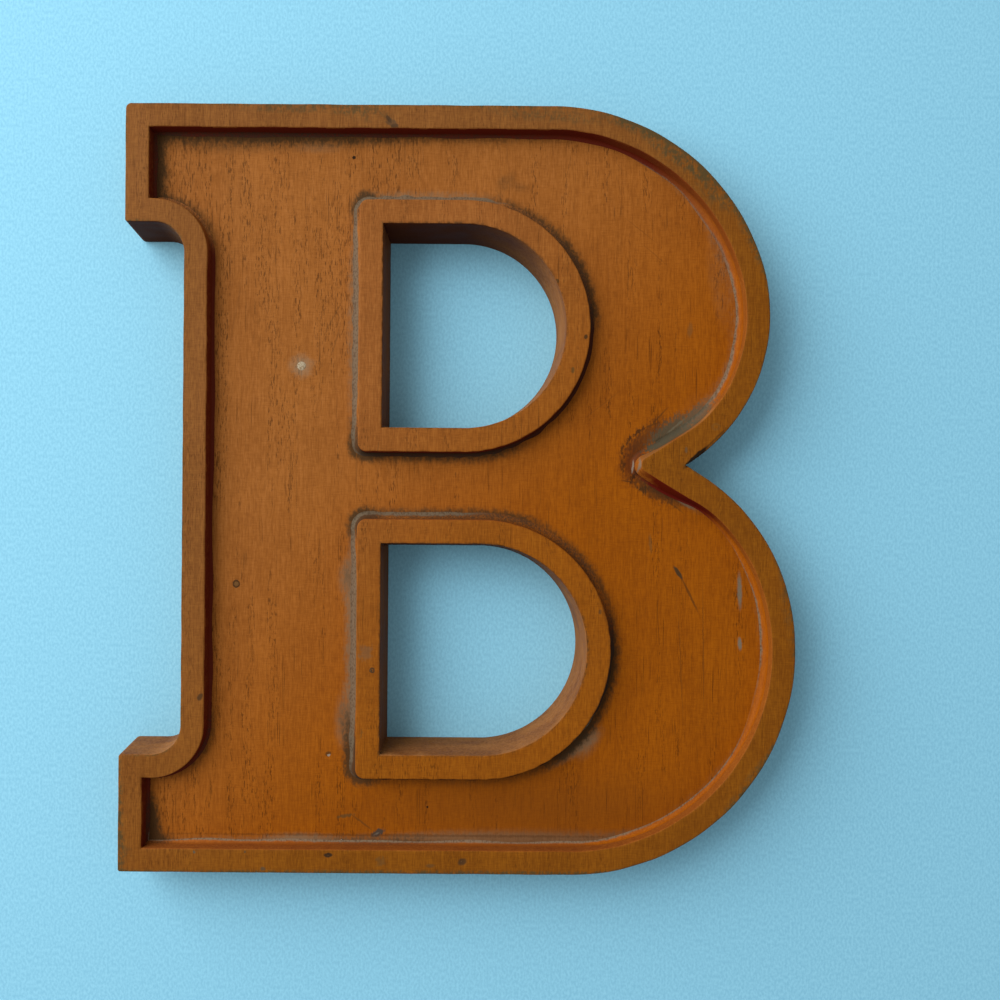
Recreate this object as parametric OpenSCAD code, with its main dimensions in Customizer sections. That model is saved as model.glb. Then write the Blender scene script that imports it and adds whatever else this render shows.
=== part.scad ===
// Wooden sign letter, a slab serif capital B, built up as a foundry pattern is:
// two boards glued edge to edge, three raised borders planted on their face,
// hollow fillets run into the corners, brads and filled holes.
// The letter is drawn in its own coordinates, x from the end of the foot serif and
// y from the foot line, both on the face, and then moved to the middle of its box.

/* [Letter] */
// Height of the letter on its face
letter_h = 305; // [300:1:310]
// Thickness over the borders
thick = 25.4; // [22:0.1:32]
// Depth of the sunk field below the borders
field_depth = 6.35; // [5:0.05:8]
// How far the back stands out beyond the face all round, so that the walls lean
draft = 1.5; // [0.5:0.1:2]

/* [Stem and serifs] */
// Left side of the stem
stem_x = 24.5; // [22:0.5:28]
// Left end of the head serif
head_x = 1; // [0:0.5:4]
// Height of the head serif at its end
head_serif_h = 47; // [40:0.5:52]
// Height of the foot serif at its end
foot_serif_h = 46.5; // [40:0.5:52]
// Radius of the hollow brackets between the serifs and the stem
bracket_r = 12; // [8:0.5:16]

/* [Upper bowl] */
// Radius of the shoulder, which runs out of the top edge
upper_shoulder_r = 87.5; // [84:0.5:90]
// Where the shoulder leaves the top edge
upper_shoulder_x = 170.5; // [165:0.5:176]
// Radius of the tighter curve that follows it
upper_belly_r = 70; // [67:0.5:72]

/* [Lower bowl] */
// Radius of the curve that runs out of the foot line
lower_shoulder_r = 89; // [86:0.5:91]
// Where that curve leaves the foot line
lower_shoulder_x = 179.25; // [175:0.25:184]
// Radius of the tighter curve that follows it
lower_belly_r = 79; // [76:0.5:81]

/* [Counters] */
// Left side of both counters
counter_x = 103.5; // [101:0.5:106]
// Radius of the upper counter's round end
upper_counter_r = 40.5; // [38:0.5:43]
// Centre of that round end
upper_counter_c = [136, 217.5];
// Radius of the lower counter's round end
lower_counter_r = 42; // [39:0.5:44]
// Centre of that round end
lower_counter_c = [143.5, 89];

/* [Borders] */
// Width of the outer border on its top
outer_border_w = 9.3; // [7:0.1:12]
// Width of the counter borders on their tops
counter_border_w = 9.5; // [7:0.1:11]
// Radius of the outer left corners of the counter borders
border_corner_r = 3.5; // [2:0.5:6]

/* [Fillets] */
// Radius of the hollow fillets at the feet of the borders
fillet_r = 3; // [2:0.25:4]
// Thickness that a fillet keeps at its two edges
fillet_edge = 0.175; // [0.1:0.025:0.4]

/* [Boards] */
// Glue line between the stem board and the bowl board
seam_x = 93; // [88:0.5:96]

/* [Brads and fillings] */
// Diameter of a brad's shank
brad_d = 1.4; // [1:0.1:2]
// Length of a brad with its head
brad_l = 16; // [12:0.5:18]
// Diameter of a brad's head
brad_head_d = 2.4; // [1.8:0.1:3]
// Thickness of a brad's head
brad_head_t = 0.6; // [0.4:0.1:1]
// Depth of the filled holes in the stem
filling_depth = 8; // [4:0.5:12]
// Diameter of the large filled hole
large_filling_d = 3.6; // [2:0.1:5]
// Diameter of the small filled hole
small_filling_d = 2; // [1:0.1:3]

/* [Hidden] */
$fn = 96;

// Heights
field_z = thick - field_depth;
lean = draft / thick;
// What cuts runs this far past the surface that it meets, and what is buried this far
past = thick / 10;
buried = 6;
// Length of the straight ends of the bowls, most of it inside the letter
cheek_l = 36;
// How far each fillet runs past the line on which the two meet at the border's tip
tip_lap = 0.1;

// Rounds, so that walls which meet are written with the same figures
function neat(v) = round(v * 10000) / 10000;

// Directions from the centres of the bowls' curves, in figures that are written exactly:
// where each bowl changes its radius, the tighter curve touching the wider one from inside,
// and where the tighter curve ends and runs on straight into the notch
turn_way = [0.96, 0.28];
upper_end_way = [0.5376, -0.8432];
lower_end_way = [0.5376, 0.8432];
end_turn = atan2(0.8432, 0.5376);
upper_shoulder_c = [upper_shoulder_x, letter_h - upper_shoulder_r];
upper_belly_c = upper_shoulder_c + (upper_shoulder_r - upper_belly_r) * turn_way;
lower_shoulder_c = [lower_shoulder_x, lower_shoulder_r];
lower_belly_c = lower_shoulder_c + (lower_shoulder_r - lower_belly_r) * turn_way;
letter_w = lower_shoulder_x + lower_shoulder_r;
notch_y = (upper_belly_c[1] + lower_belly_c[1]
           - ((upper_belly_c[0] - lower_belly_c[0]) * upper_end_way[0]
              + upper_belly_r - lower_belly_r) / lower_end_way[1]) / 2;

// Undersides of the serifs and the centres of their brackets
head_y = letter_h - head_serif_h;
foot_y = foot_serif_h;
head_bracket_c = [stem_x - bracket_r, head_y - bracket_r];
foot_bracket_c = [stem_x - bracket_r, foot_y + bracket_r];

// Places of the brads in the borders, and of the filled holes with their diameters
outer_brad_places = [[106.5, 298], [83.5, 7], [136.5, 5]];
counter_brad_places = [[100, 80.5]];
filling_places = [[70.5, 202, large_filling_d], [45, 114, small_filling_d]];

wood_colour = "#9a5a1e";
border_colour = "#875222";
fillet_colour = "#7d6a50";
iron_colour = "#4a4038";
filling_colour = "#b3a78c";

// How far an outer wall stands out beyond its line on the face, at height z
function out(z) = neat(lean * (thick - z));

// Moves the letter's own coordinates to the middle of its box
module placed() {
    translate([-letter_w / 2, -letter_h / 2, 0])
    children();
}

// A block from z0 to z1 whose sides lean: each moves out by low at z0 and high at z1,
// or stays where it is if its place in leans is 0: [left, right, near, far]
module leaning_block(x0, x1, y0, y1, z0, z1, low, high, leans) {
    intersection() {
        translate([0, y1 + buried, 0])
        rotate([90, 0, 0])
        linear_extrude(height = y1 - y0 + 2 * buried)
        polygon([[x0 - low * leans[0], z0], [x1 + low * leans[1], z0],
                 [x1 + high * leans[1], z1], [x0 - high * leans[0], z1]]);
        translate([x0 - buried, 0, 0])
        rotate([90, 0, 90])
        linear_extrude(height = x1 - x0 + 2 * buried)
        polygon([[y0 - low * leans[2], z0], [y1 + low * leans[3], z0],
                 [y1 + high * leans[3], z1], [y0 - high * leans[2], z1]]);
    }
}

// A round block whose wall leans: a cone about centre, or as much of it as lies within sweep
module leaning_round(centre, radius, from, sweep, z0, z1, low, high) {
    translate([centre[0], centre[1], 0])
    rotate([0, 0, from])
    rotate_extrude(angle = sweep)
    polygon([[0, z0], [radius + low, z0], [radius + high, z1], [0, z1]]);
}

// What lies between two directions from centre, less than half a turn apart
module wedge(centre, first, second, z0, z1) {
    reach = 150;
    translate([0, 0, z0])
    linear_extrude(height = z1 - z0)
    polygon([centre, centre + reach * first, centre + reach * (first + second),
             centre + reach * second]);
}

// The sector of a leaning round block between two directions
module leaning_sector(centre, radius, first, second, z0, z1, low, high) {
    intersection() {
        leaning_round(centre, radius, 0, 360, z0, z1, low, high);
        wedge(centre, first, second, z0 - past, z1 + past);
    }
}

// A plain block that lies inside a shape and ties its parts together
module core(x0, x1, y0, y1, z0, z1) {
    leaning_block(x0, x1, y0, y1, z0, z1, 0, 0, [0, 0, 0, 0]);
}

// The hollow bracket between a serif and the stem; up is 1 under the head, -1 over the foot
module bracket(centre, up, z0, z1, low, high) {
    size = bracket_r + buried - min(low, high);
    near = centre[1] - (up > 0 ? 0 : size);
    difference() {
        core(centre[0], centre[0] + size, near, near + size, z0, z1);
        leaning_round(centre, bracket_r, 0, 360, z0, z1, -low, -high);
    }
}

// Puts what is drawn along x in the direction in which a bowl's curve ends; up is 1 if the
// notch lies above that bowl and -1 if it lies below
module to_end(centre, up) {
    translate([centre[0], centre[1], 0])
    rotate([0, 0, up * end_turn])
    children();
}

// The straight end of a bowl, from where its curve ends into the notch
module cheek(centre, radius, up, z0, z1, low, high) {
    to_end(centre, up)
    leaning_block(0, radius, up > 0 ? 0 : -cheek_l, up > 0 ? cheek_l : 0, z0, z1, low, high,
                  [0, 1, 0, 0]);
}

// The letter between two heights, without its counters: its outline on the face,
// moved out by low at z0 and by high at z1
module letter_block(z0, z1, low, high) {
    // Stem and serifs
    leaning_block(stem_x, upper_shoulder_x, 0, letter_h, z0, z1, low, high, [1, 0, 1, 1]);
    leaning_block(head_x, stem_x + 4 * buried, head_y, letter_h, z0, z1, low, high, [1, 0, 1, 1]);
    leaning_block(0, stem_x + 4 * buried, 0, foot_y, z0, z1, low, high, [1, 0, 1, 1]);
    bracket(head_bracket_c, 1, z0, z1, low, high);
    bracket(foot_bracket_c, -1, z0, z1, low, high);
    // The foot as far as the lower bowl, and the waist behind the notch
    leaning_block(stem_x + 4 * buried, lower_shoulder_x, 0, lower_belly_c[1], z0, z1, low, high,
                  [0, 0, 1, 0]);
    core(upper_shoulder_x - buried, upper_belly_c[0] + buried, lower_belly_c[1] - buried,
         upper_belly_c[1], z0, z1);
    // The bowls
    leaning_sector(upper_shoulder_c, upper_shoulder_r, turn_way, [0, 1], z0, z1, low, high);
    leaning_sector(upper_belly_c, upper_belly_r, upper_end_way, turn_way, z0, z1, low, high);
    cheek(upper_belly_c, upper_belly_r, -1, z0, z1, low, high);
    leaning_sector(lower_shoulder_c, lower_shoulder_r, [0, -1], turn_way, z0, z1, low, high);
    leaning_sector(lower_belly_c, lower_belly_r, turn_way, lower_end_way, z0, z1, low, high);
    cheek(lower_belly_c, lower_belly_r, 1, z0, z1, low, high);
}

// A shape flat on its left and round on its right, between two heights, for the counters
// and their borders; corner rounds the corners on the left, and 0 keeps them sharp
module counter_block(centre, radius, left, corner, z0, z1, low, high) {
    leaning_block(left + corner, centre[0], centre[1] - radius, centre[1] + radius, z0, z1,
                  low, high, [corner > 0 ? 0 : 1, 0, 1, 1]);
    leaning_round(centre, radius, -90, 180, z0, z1, low, high);
    if (corner > 0) {
        leaning_block(left, centre[0], centre[1] - radius + corner, centre[1] + radius - corner,
                      z0, z1, low, high, [1, 0, 0, 0]);
        for (side = [-1, 1])
            leaning_round([left + corner, centre[1] + side * (radius - corner)], corner, 0, 360,
                          z0, z1, low, high);
    }
}

// The hole of a counter, which narrows towards the back
module counter_hole(centre, radius, z0, z1) {
    counter_block(centre, radius, counter_x, 0, z0, z1, -out(z0), -out(z1));
}

// Both counters, cut through everything between two heights
module counter_holes(z0, z1) {
    counter_hole(upper_counter_c, upper_counter_r, z0, z1);
    counter_hole(lower_counter_c, lower_counter_r, z0, z1);
}

// What lies inside the outer faces of a counter's border, moved out by low and high
module border_block(centre, radius, z0, z1, low, high) {
    counter_block(centre, radius + counter_border_w, counter_x - counter_border_w,
                  border_corner_r, z0, z1, low, high);
}

// A brad driven through a border into the board, its head flush with the border's top
module brad(place) {
    translate([place[0], place[1], thick - brad_l]) {
        cylinder(d = brad_d, h = brad_l - brad_head_t / 2);
        translate([0, 0, brad_l - brad_head_t])
        cylinder(d = brad_head_d, h = brad_head_t);
    }
}

module outer_brads() {
    for (place = outer_brad_places)
        brad(place);
}

module counter_brads() {
    for (place = counter_brad_places)
        brad(place);
}

// The fillings of the old holes in the stem, flush with the field
module fillings() {
    for (place = filling_places)
        translate([place[0], place[1], field_z - filling_depth])
        cylinder(d = place[2], h = filling_depth);
}

// The boards under the borders, before they are parted at the glue line
module boards() {
    difference() {
        letter_block(0, field_z, out(0), out(field_z));
        counter_holes(-past, field_z + past);
        outer_brads();
        counter_brads();
        fillings();
    }
}

module stem_board() {
    color(wood_colour)
    placed()
    intersection() {
        boards();
        translate([-buried, -buried, -past])
        cube([seam_x + buried, letter_h + 2 * buried, thick + 2 * past]);
    }
}

module bowl_board() {
    color(wood_colour)
    placed()
    intersection() {
        boards();
        translate([seam_x, -buried, -past])
        cube([letter_w - seam_x + buried, letter_h + 2 * buried, thick + 2 * past]);
    }
}

// The outer border: one ring, its inner wall leaning in towards the field
module outer_border() {
    color(border_colour)
    placed()
    difference() {
        letter_block(field_z, thick, out(field_z), out(thick));
        letter_block(field_z - past, thick + past,
                     -outer_border_w - out(field_z - past), -outer_border_w - out(thick + past));
        outer_brads();
    }
}

module counter_border(centre, radius) {
    difference() {
        border_block(centre, radius, field_z, thick, out(field_z), out(thick));
        counter_hole(centre, radius, field_z - past, thick + past);
    }
}

module upper_counter_border() {
    color(border_colour)
    placed()
    counter_border(upper_counter_c, upper_counter_r);
}

module lower_counter_border() {
    color(border_colour)
    placed()
    difference() {
        counter_border(lower_counter_c, lower_counter_r);
        counter_brads();
    }
}

// The section of a fillet, x out from the border's line on the face and y up: it fills the corner between the leaning wall and the field, less a quarter circle
module fillet_section() {
    foot = out(field_z);
    top = field_z + fillet_edge + fillet_r;
    difference() {
        polygon([[foot, field_z], [foot + fillet_edge + fillet_r, field_z],
                 [foot + fillet_edge + fillet_r, field_z + fillet_edge],
                 [foot + fillet_edge, top], [out(top), top]]);
        translate([foot + fillet_edge + fillet_r, top])
        circle(r = fillet_r);
    }
}

// The fillet along a straight wall from start; outward is the way the wall faces, in degrees,
// and the wall runs to the right of someone who looks that way
module straight_fillet(start, outward, length) {
    translate([start[0], start[1], 0])
    rotate([90, 0, outward])
    linear_extrude(height = length)
    fillet_section();
}

// The same between leaning walls: first and last are 1 at an end that meets such a wall
module cut_fillet(start, outward, length, first, last) {
    low = field_z - past;
    intersection() {
        straight_fillet(start, outward, length);
        translate([start[0], start[1], 0])
        rotate([90, 0, outward])
        translate([-past, 0, 0])
        rotate([0, 90, 0])
        linear_extrude(height = 4 * past)
        polygon([[-first * out(low), low], [-length + last * out(low), low],
                 [-length + last * out(thick), thick], [-first * out(thick), thick]]);
    }
}

// The fillet outside a curved wall, from one angle through sweep
module round_fillet(centre, radius, from, sweep) {
    translate([centre[0], centre[1], 0])
    rotate([0, 0, from])
    rotate_extrude(angle = sweep)
    translate([radius, 0])
    fillet_section();
}

// The fillet inside a curved wall, between two directions
module inside_fillet(centre, radius, first, second) {
    intersection() {
        translate([centre[0], centre[1], 0])
        rotate_extrude()
        translate([radius, 0])
        mirror([1, 0])
        fillet_section();
        wedge(centre, first, second, field_z - past, thick);
    }
}

// The fillet along the straight end of a bowl, cut where it meets the other bowl's at the
// tip of the border behind the notch
module cheek_fillet(centre, radius, up) {
    intersection() {
        to_end(centre, up)
        straight_fillet([radius, up > 0 ? 0 : -cheek_l], 180, cheek_l);
        translate([upper_shoulder_x, up > 0 ? notch_y - letter_h : notch_y, 0]
                  + [0, up * tip_lap, field_z - past])
        cube([letter_w, letter_h, thick]);
    }
}

// The fillet round the field, inside the outer border's wall
module field_fillet() {
    border = outer_border_w;
    top = letter_h - border;
    head = head_y + border;
    foot = foot_y - border;
    bracket_x = stem_x - bracket_r;
    // Along the top, down the head serif, round its bracket and down the stem
    cut_fillet([upper_shoulder_x, top], 270, upper_shoulder_x - head_x - border, 0, 1);
    cut_fillet([head_x + border, top], 0, top - head, 1, 1);
    cut_fillet([head_x + border, head], 90, bracket_x - head_x - border, 1, 0);
    round_fillet(head_bracket_c, bracket_r + border, 0, 90);
    straight_fillet([stem_x + border, head_bracket_c[1]], 0, head_bracket_c[1] - foot_bracket_c[1]);
    // Round the foot serif and along the foot
    round_fillet(foot_bracket_c, bracket_r + border, 270, 90);
    cut_fillet([bracket_x, foot], 270, bracket_x - border, 0, 1);
    cut_fillet([border, foot], 0, foot - border, 1, 1);
    cut_fillet([border, border], 90, lower_shoulder_x - border, 1, 0);
    // Round the bowls
    inside_fillet(lower_shoulder_c, lower_shoulder_r - border, [0, -1], turn_way);
    inside_fillet(lower_belly_c, lower_belly_r - border, turn_way, lower_end_way);
    cheek_fillet(lower_belly_c, lower_belly_r - border, 1);
    cheek_fillet(upper_belly_c, upper_belly_r - border, -1);
    inside_fillet(upper_belly_c, upper_belly_r - border, upper_end_way, turn_way);
    inside_fillet(upper_shoulder_c, upper_shoulder_r - border, turn_way, [0, 1]);
}

// The fillet round the outside of a counter's border
module counter_fillet(centre, radius) {
    outer = radius + counter_border_w;
    left = counter_x - counter_border_w;
    corner_x = left + border_corner_r;
    corner_up = outer - border_corner_r;
    round_fillet(centre, outer, -90, 180);
    straight_fillet([corner_x, centre[1] + outer], 90, centre[0] - corner_x);
    round_fillet([corner_x, centre[1] + corner_up], border_corner_r, 90, 90);
    straight_fillet([left, centre[1] - corner_up], 180, 2 * corner_up);
    round_fillet([corner_x, centre[1] - corner_up], border_corner_r, 180, 90);
    straight_fillet([centre[0], centre[1] - outer], 270, centre[0] - corner_x);
}

module outer_fillet() {
    color(fillet_colour)
    placed()
    field_fillet();
}

module upper_counter_fillet() {
    color(fillet_colour)
    placed()
    counter_fillet(upper_counter_c, upper_counter_r);
}

module lower_counter_fillet() {
    color(fillet_colour)
    placed()
    counter_fillet(lower_counter_c, lower_counter_r);
}

module outer_border_brads() {
    color(iron_colour)
    placed()
    outer_brads();
}

module counter_border_brad() {
    color(iron_colour)
    placed()
    counter_brads();
}

module hole_fillings() {
    color(filling_colour)
    placed()
    fillings();
}

stem_board();
bowl_board();
outer_border();
upper_counter_border();
lower_counter_border();
outer_fillet();
upper_counter_fillet();
lower_counter_fillet();
outer_border_brads();
counter_border_brad();
hole_fillings();
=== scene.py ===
"""A wooden sign letter, slab-serif capital B: its looks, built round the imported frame.

The boards, the planted borders and the hand-laid fillets are worked out again as smooth
surfaces with worn edges, and stand for the plain solids of the frame. The letter is drawn
in its own millimetres, x from the end of the foot serif and y from the foot line, both on
the face, and is moved to the middle of the frame when a mesh is made.
"""
from __future__ import annotations

import logging
import math
from collections.abc import Callable
from dataclasses import dataclass, field
from enum import Enum

import bmesh
import bpy
import numpy as np
from bpy.types import Material, NodeSocket, Object
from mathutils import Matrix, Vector, geometry


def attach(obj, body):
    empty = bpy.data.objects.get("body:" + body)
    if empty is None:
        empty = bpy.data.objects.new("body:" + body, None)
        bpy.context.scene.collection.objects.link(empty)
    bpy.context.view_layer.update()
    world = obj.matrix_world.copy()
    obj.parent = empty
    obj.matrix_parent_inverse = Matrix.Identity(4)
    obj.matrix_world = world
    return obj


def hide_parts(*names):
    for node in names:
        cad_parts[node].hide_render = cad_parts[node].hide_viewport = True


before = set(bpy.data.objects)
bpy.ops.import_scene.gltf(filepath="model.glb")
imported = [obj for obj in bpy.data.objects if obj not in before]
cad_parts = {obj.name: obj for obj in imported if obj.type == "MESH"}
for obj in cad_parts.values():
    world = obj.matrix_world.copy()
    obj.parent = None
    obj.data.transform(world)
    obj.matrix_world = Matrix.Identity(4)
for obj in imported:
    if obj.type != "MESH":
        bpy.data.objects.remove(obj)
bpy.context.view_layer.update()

Array = np.ndarray
Pair, Triple = tuple[float, float], tuple[float, float, float]
log = logging.getLogger("sign_letter")
MM = 0.001
SEED = 7
# The offset in mm at which all the points of each corner are one
CORNERS_MEET = -5.0
# Where the walls with the most painted shade face, away from the lamp, in degrees, and how
# suddenly the painted shade sets in
SHADE_WAY, SHADE_POWER = -60.0, 0.8
# Points this near, in metres, become one, and edges that turn by more degrees stay crisp
MERGE_WITHIN, CRISP_TURN = 2e-6, 40.0
# How many points a worn corner of a section has
CORNER_POINTS = 5
# How far from a rim points are strewn, as a share of their spacing
RIM_CLEAR = 0.4
# How many points are measured at a time
BLOCK = 4000


class Slot(Enum):
    """The names of the material slots."""

    BOARD = "painted_board"
    BORDER = "painted_border"
    FILLET = "fillet_filler"
    BRAD = "brad_iron"
    FILLING = "hole_filler"


# Rails: closed outlines that know how each of their points moves as they grow


@dataclass(frozen=True)
class Rail:
    """A closed outline that can be moved in or out by any distance.

    Each point has a place at one offset, its knee, and two directions: it moves along
    `fan` per millimetre above the knee and along `mitre` below it. So a corner is round
    on one side of its knee and sharp on the other.
    """

    anchor: Array
    fan: Array
    mitre: Array
    knee: Array

    def at(self, offset: Array) -> Array:
        """Moves the outline: place = anchor + fan * max(grow, 0) + mitre * min(grow, 0).

        Args:
            offset: distances in mm, its last axis running round the outline.

        Returns:
            The points, with one more axis of x and y.
        """
        grow = (offset - self.knee)[..., None]
        return self.anchor + np.maximum(grow, 0) * self.fan + np.minimum(grow, 0) * self.mitre

    def level(self, offset: float) -> Array:
        """Returns the whole outline moved by one distance."""
        return self.at(np.full(len(self.knee), offset))

    def along(self) -> Array:
        """Returns each point's distance round the outline as a share of the whole."""
        line = self.level(CORNERS_MEET)
        steps = np.hypot(*(np.roll(line, -1, 0) - line).T)
        return np.concatenate([[0.0], np.cumsum(steps)[:-1]]) / steps.sum()

    def __len__(self) -> int:
        """Returns the number of points."""
        return len(self.knee)


@dataclass(frozen=True)
class RailEnd:
    """An end of a straight stretch, which moves as a rail's points do."""

    anchor: Array
    fan: Array
    mitre: Array


def way(degrees: float | Array) -> Array:
    """Returns the unit direction at an angle, or one for each of many."""
    return np.stack([np.cos(np.radians(degrees)), np.sin(np.radians(degrees))], -1)


def mitre_of(first: Array, second: Array) -> Array:
    """Returns how a corner between two walls moves when both move out by one."""
    return (first + second) / (1.0 + first @ second)


def joined(parts: list[Rail]) -> Rail:
    """Joins stretches, each without its last point, into one closed rail."""
    return Rail(*(np.concatenate([getattr(p, name) for p in parts])
                  for name in ("anchor", "fan", "mitre", "knee")))


def straight(start: RailEnd, end: RailEnd, knee: float, step: float = 1.2,
             last: float | None = None) -> Rail:
    """Builds a straight stretch by mixing its two ends, t from 0 up to but without 1.

    Args:
        start: the first end.
        end: the second end, which the next stretch begins with.
        knee: the offset at which the first end turns from one movement to the other.
        step: spacing of the points in mm.
        last: the same offset at the second end, where it differs.
    """
    count = max(2, round(float(np.hypot(*(end.anchor - start.anchor))) / step))
    t = (np.arange(count) / count)[:, None]
    mixed = [getattr(start, n) * (1 - t) + getattr(end, n) * t for n in ("anchor", "fan", "mitre")]
    return Rail(*mixed, knee + (0 if last is None else last - knee) * t[:, 0])


def curve(centre: Array, radius: float, first: float, last: float, sign: float = 1.0,
          step: float = 1.0) -> Rail:
    """Builds an arc: place = centre + radius * way(a), moving outwards along sign * way(a).

    Args:
        centre: the arc's centre.
        radius: its radius on the face.
        first: angle of the first point, in degrees.
        last: angle at which the next stretch begins.
        sign: 1 where the arc grows with the letter, -1 where it is hollow.
        step: spacing of the points in mm.
    """
    count = max(6, round(abs(math.radians(last - first)) * radius / step))
    u = way(first + (last - first) * np.arange(count) / count)
    return Rail(centre + radius * u, sign * u, sign * u, np.zeros(count))


def corner(vertex: Array, first: float, last: float, knee: float, count: int = 8,
           round_above: bool = True) -> Rail:
    """Builds a corner, round on one side of its knee and sharp on the other.

    Args:
        vertex: the sharp corner on the face.
        first: direction of the wall before it, in degrees.
        last: direction of the wall after it.
        knee: the offset at which the corner is just sharp.
        count: how many points it has.
        round_above: whether it is round above the knee, or below.
    """
    m = mitre_of(way(first), way(last))
    u = way(first + (last - first) * np.arange(count) / count)
    sharp = np.broadcast_to(m, u.shape)
    anchor = np.broadcast_to(vertex + knee * m, u.shape)
    fan, mitre = (u, sharp) if round_above else (sharp, u)
    return Rail(anchor, fan, mitre, np.full(count, knee))


def corner_end(vertex: Array, wall: float, other: float, knee: float,
               round_above: bool = True) -> RailEnd:
    """Returns the end of the straight wall that meets such a corner."""
    m = mitre_of(way(wall), way(other))
    fan, mitre = (way(wall), m) if round_above else (m, way(wall))
    return RailEnd(vertex + knee * m, fan, mitre)


def plain_end(place: Array, wall: float, knee: float) -> RailEnd:
    """Returns the end of a straight wall that runs on smoothly."""
    return RailEnd(place + knee * way(wall), way(wall), way(wall))


# Small numeric helpers


def waves(along: Array, periods: tuple[int, int], seed: int) -> Array:
    """Returns a smooth closed wobble of about unit size: a sum of sines with seeded phases.

    Args:
        along: places round the outline, 0 to 1.
        periods: least and greatest number of waves round it.
        seed: picks the phases.
    """
    rng = np.random.default_rng(SEED + seed)
    counts = np.arange(periods[0], periods[1] + 1)
    phases = rng.uniform(0, 2 * np.pi, len(counts))
    sizes = rng.normal(0, 1, len(counts)) / np.sqrt(len(counts))
    angles = 2 * np.pi * counts[:, None] * along + phases[:, None]
    return 1.4 * (sizes[:, None] * np.sin(angles)).sum(0)


def shaded(normals: Array) -> Array:
    """Returns how far walls face down and to the right, away from the lamp, which sets how much
    painted shade they get: the share of their normals that points that way, to a power.
    """
    return np.clip(normals @ way(SHADE_WAY), 0, 1) ** SHADE_POWER


def linear(colour: str) -> tuple[float, float, float, float]:
    """Turns an sRGB hex colour into the linear one that shaders use."""
    rgb = np.array([int(colour[i:i + 2], 16) for i in (1, 3, 5)]) / 255
    low, high = rgb / 12.92, ((rgb + 0.055) / 1.055) ** 2.4
    return (*(float(v) for v in np.where(rgb <= 0.04045, low, high)), 1.0)


# The letter's own sizes, the same as in the part's source


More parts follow.
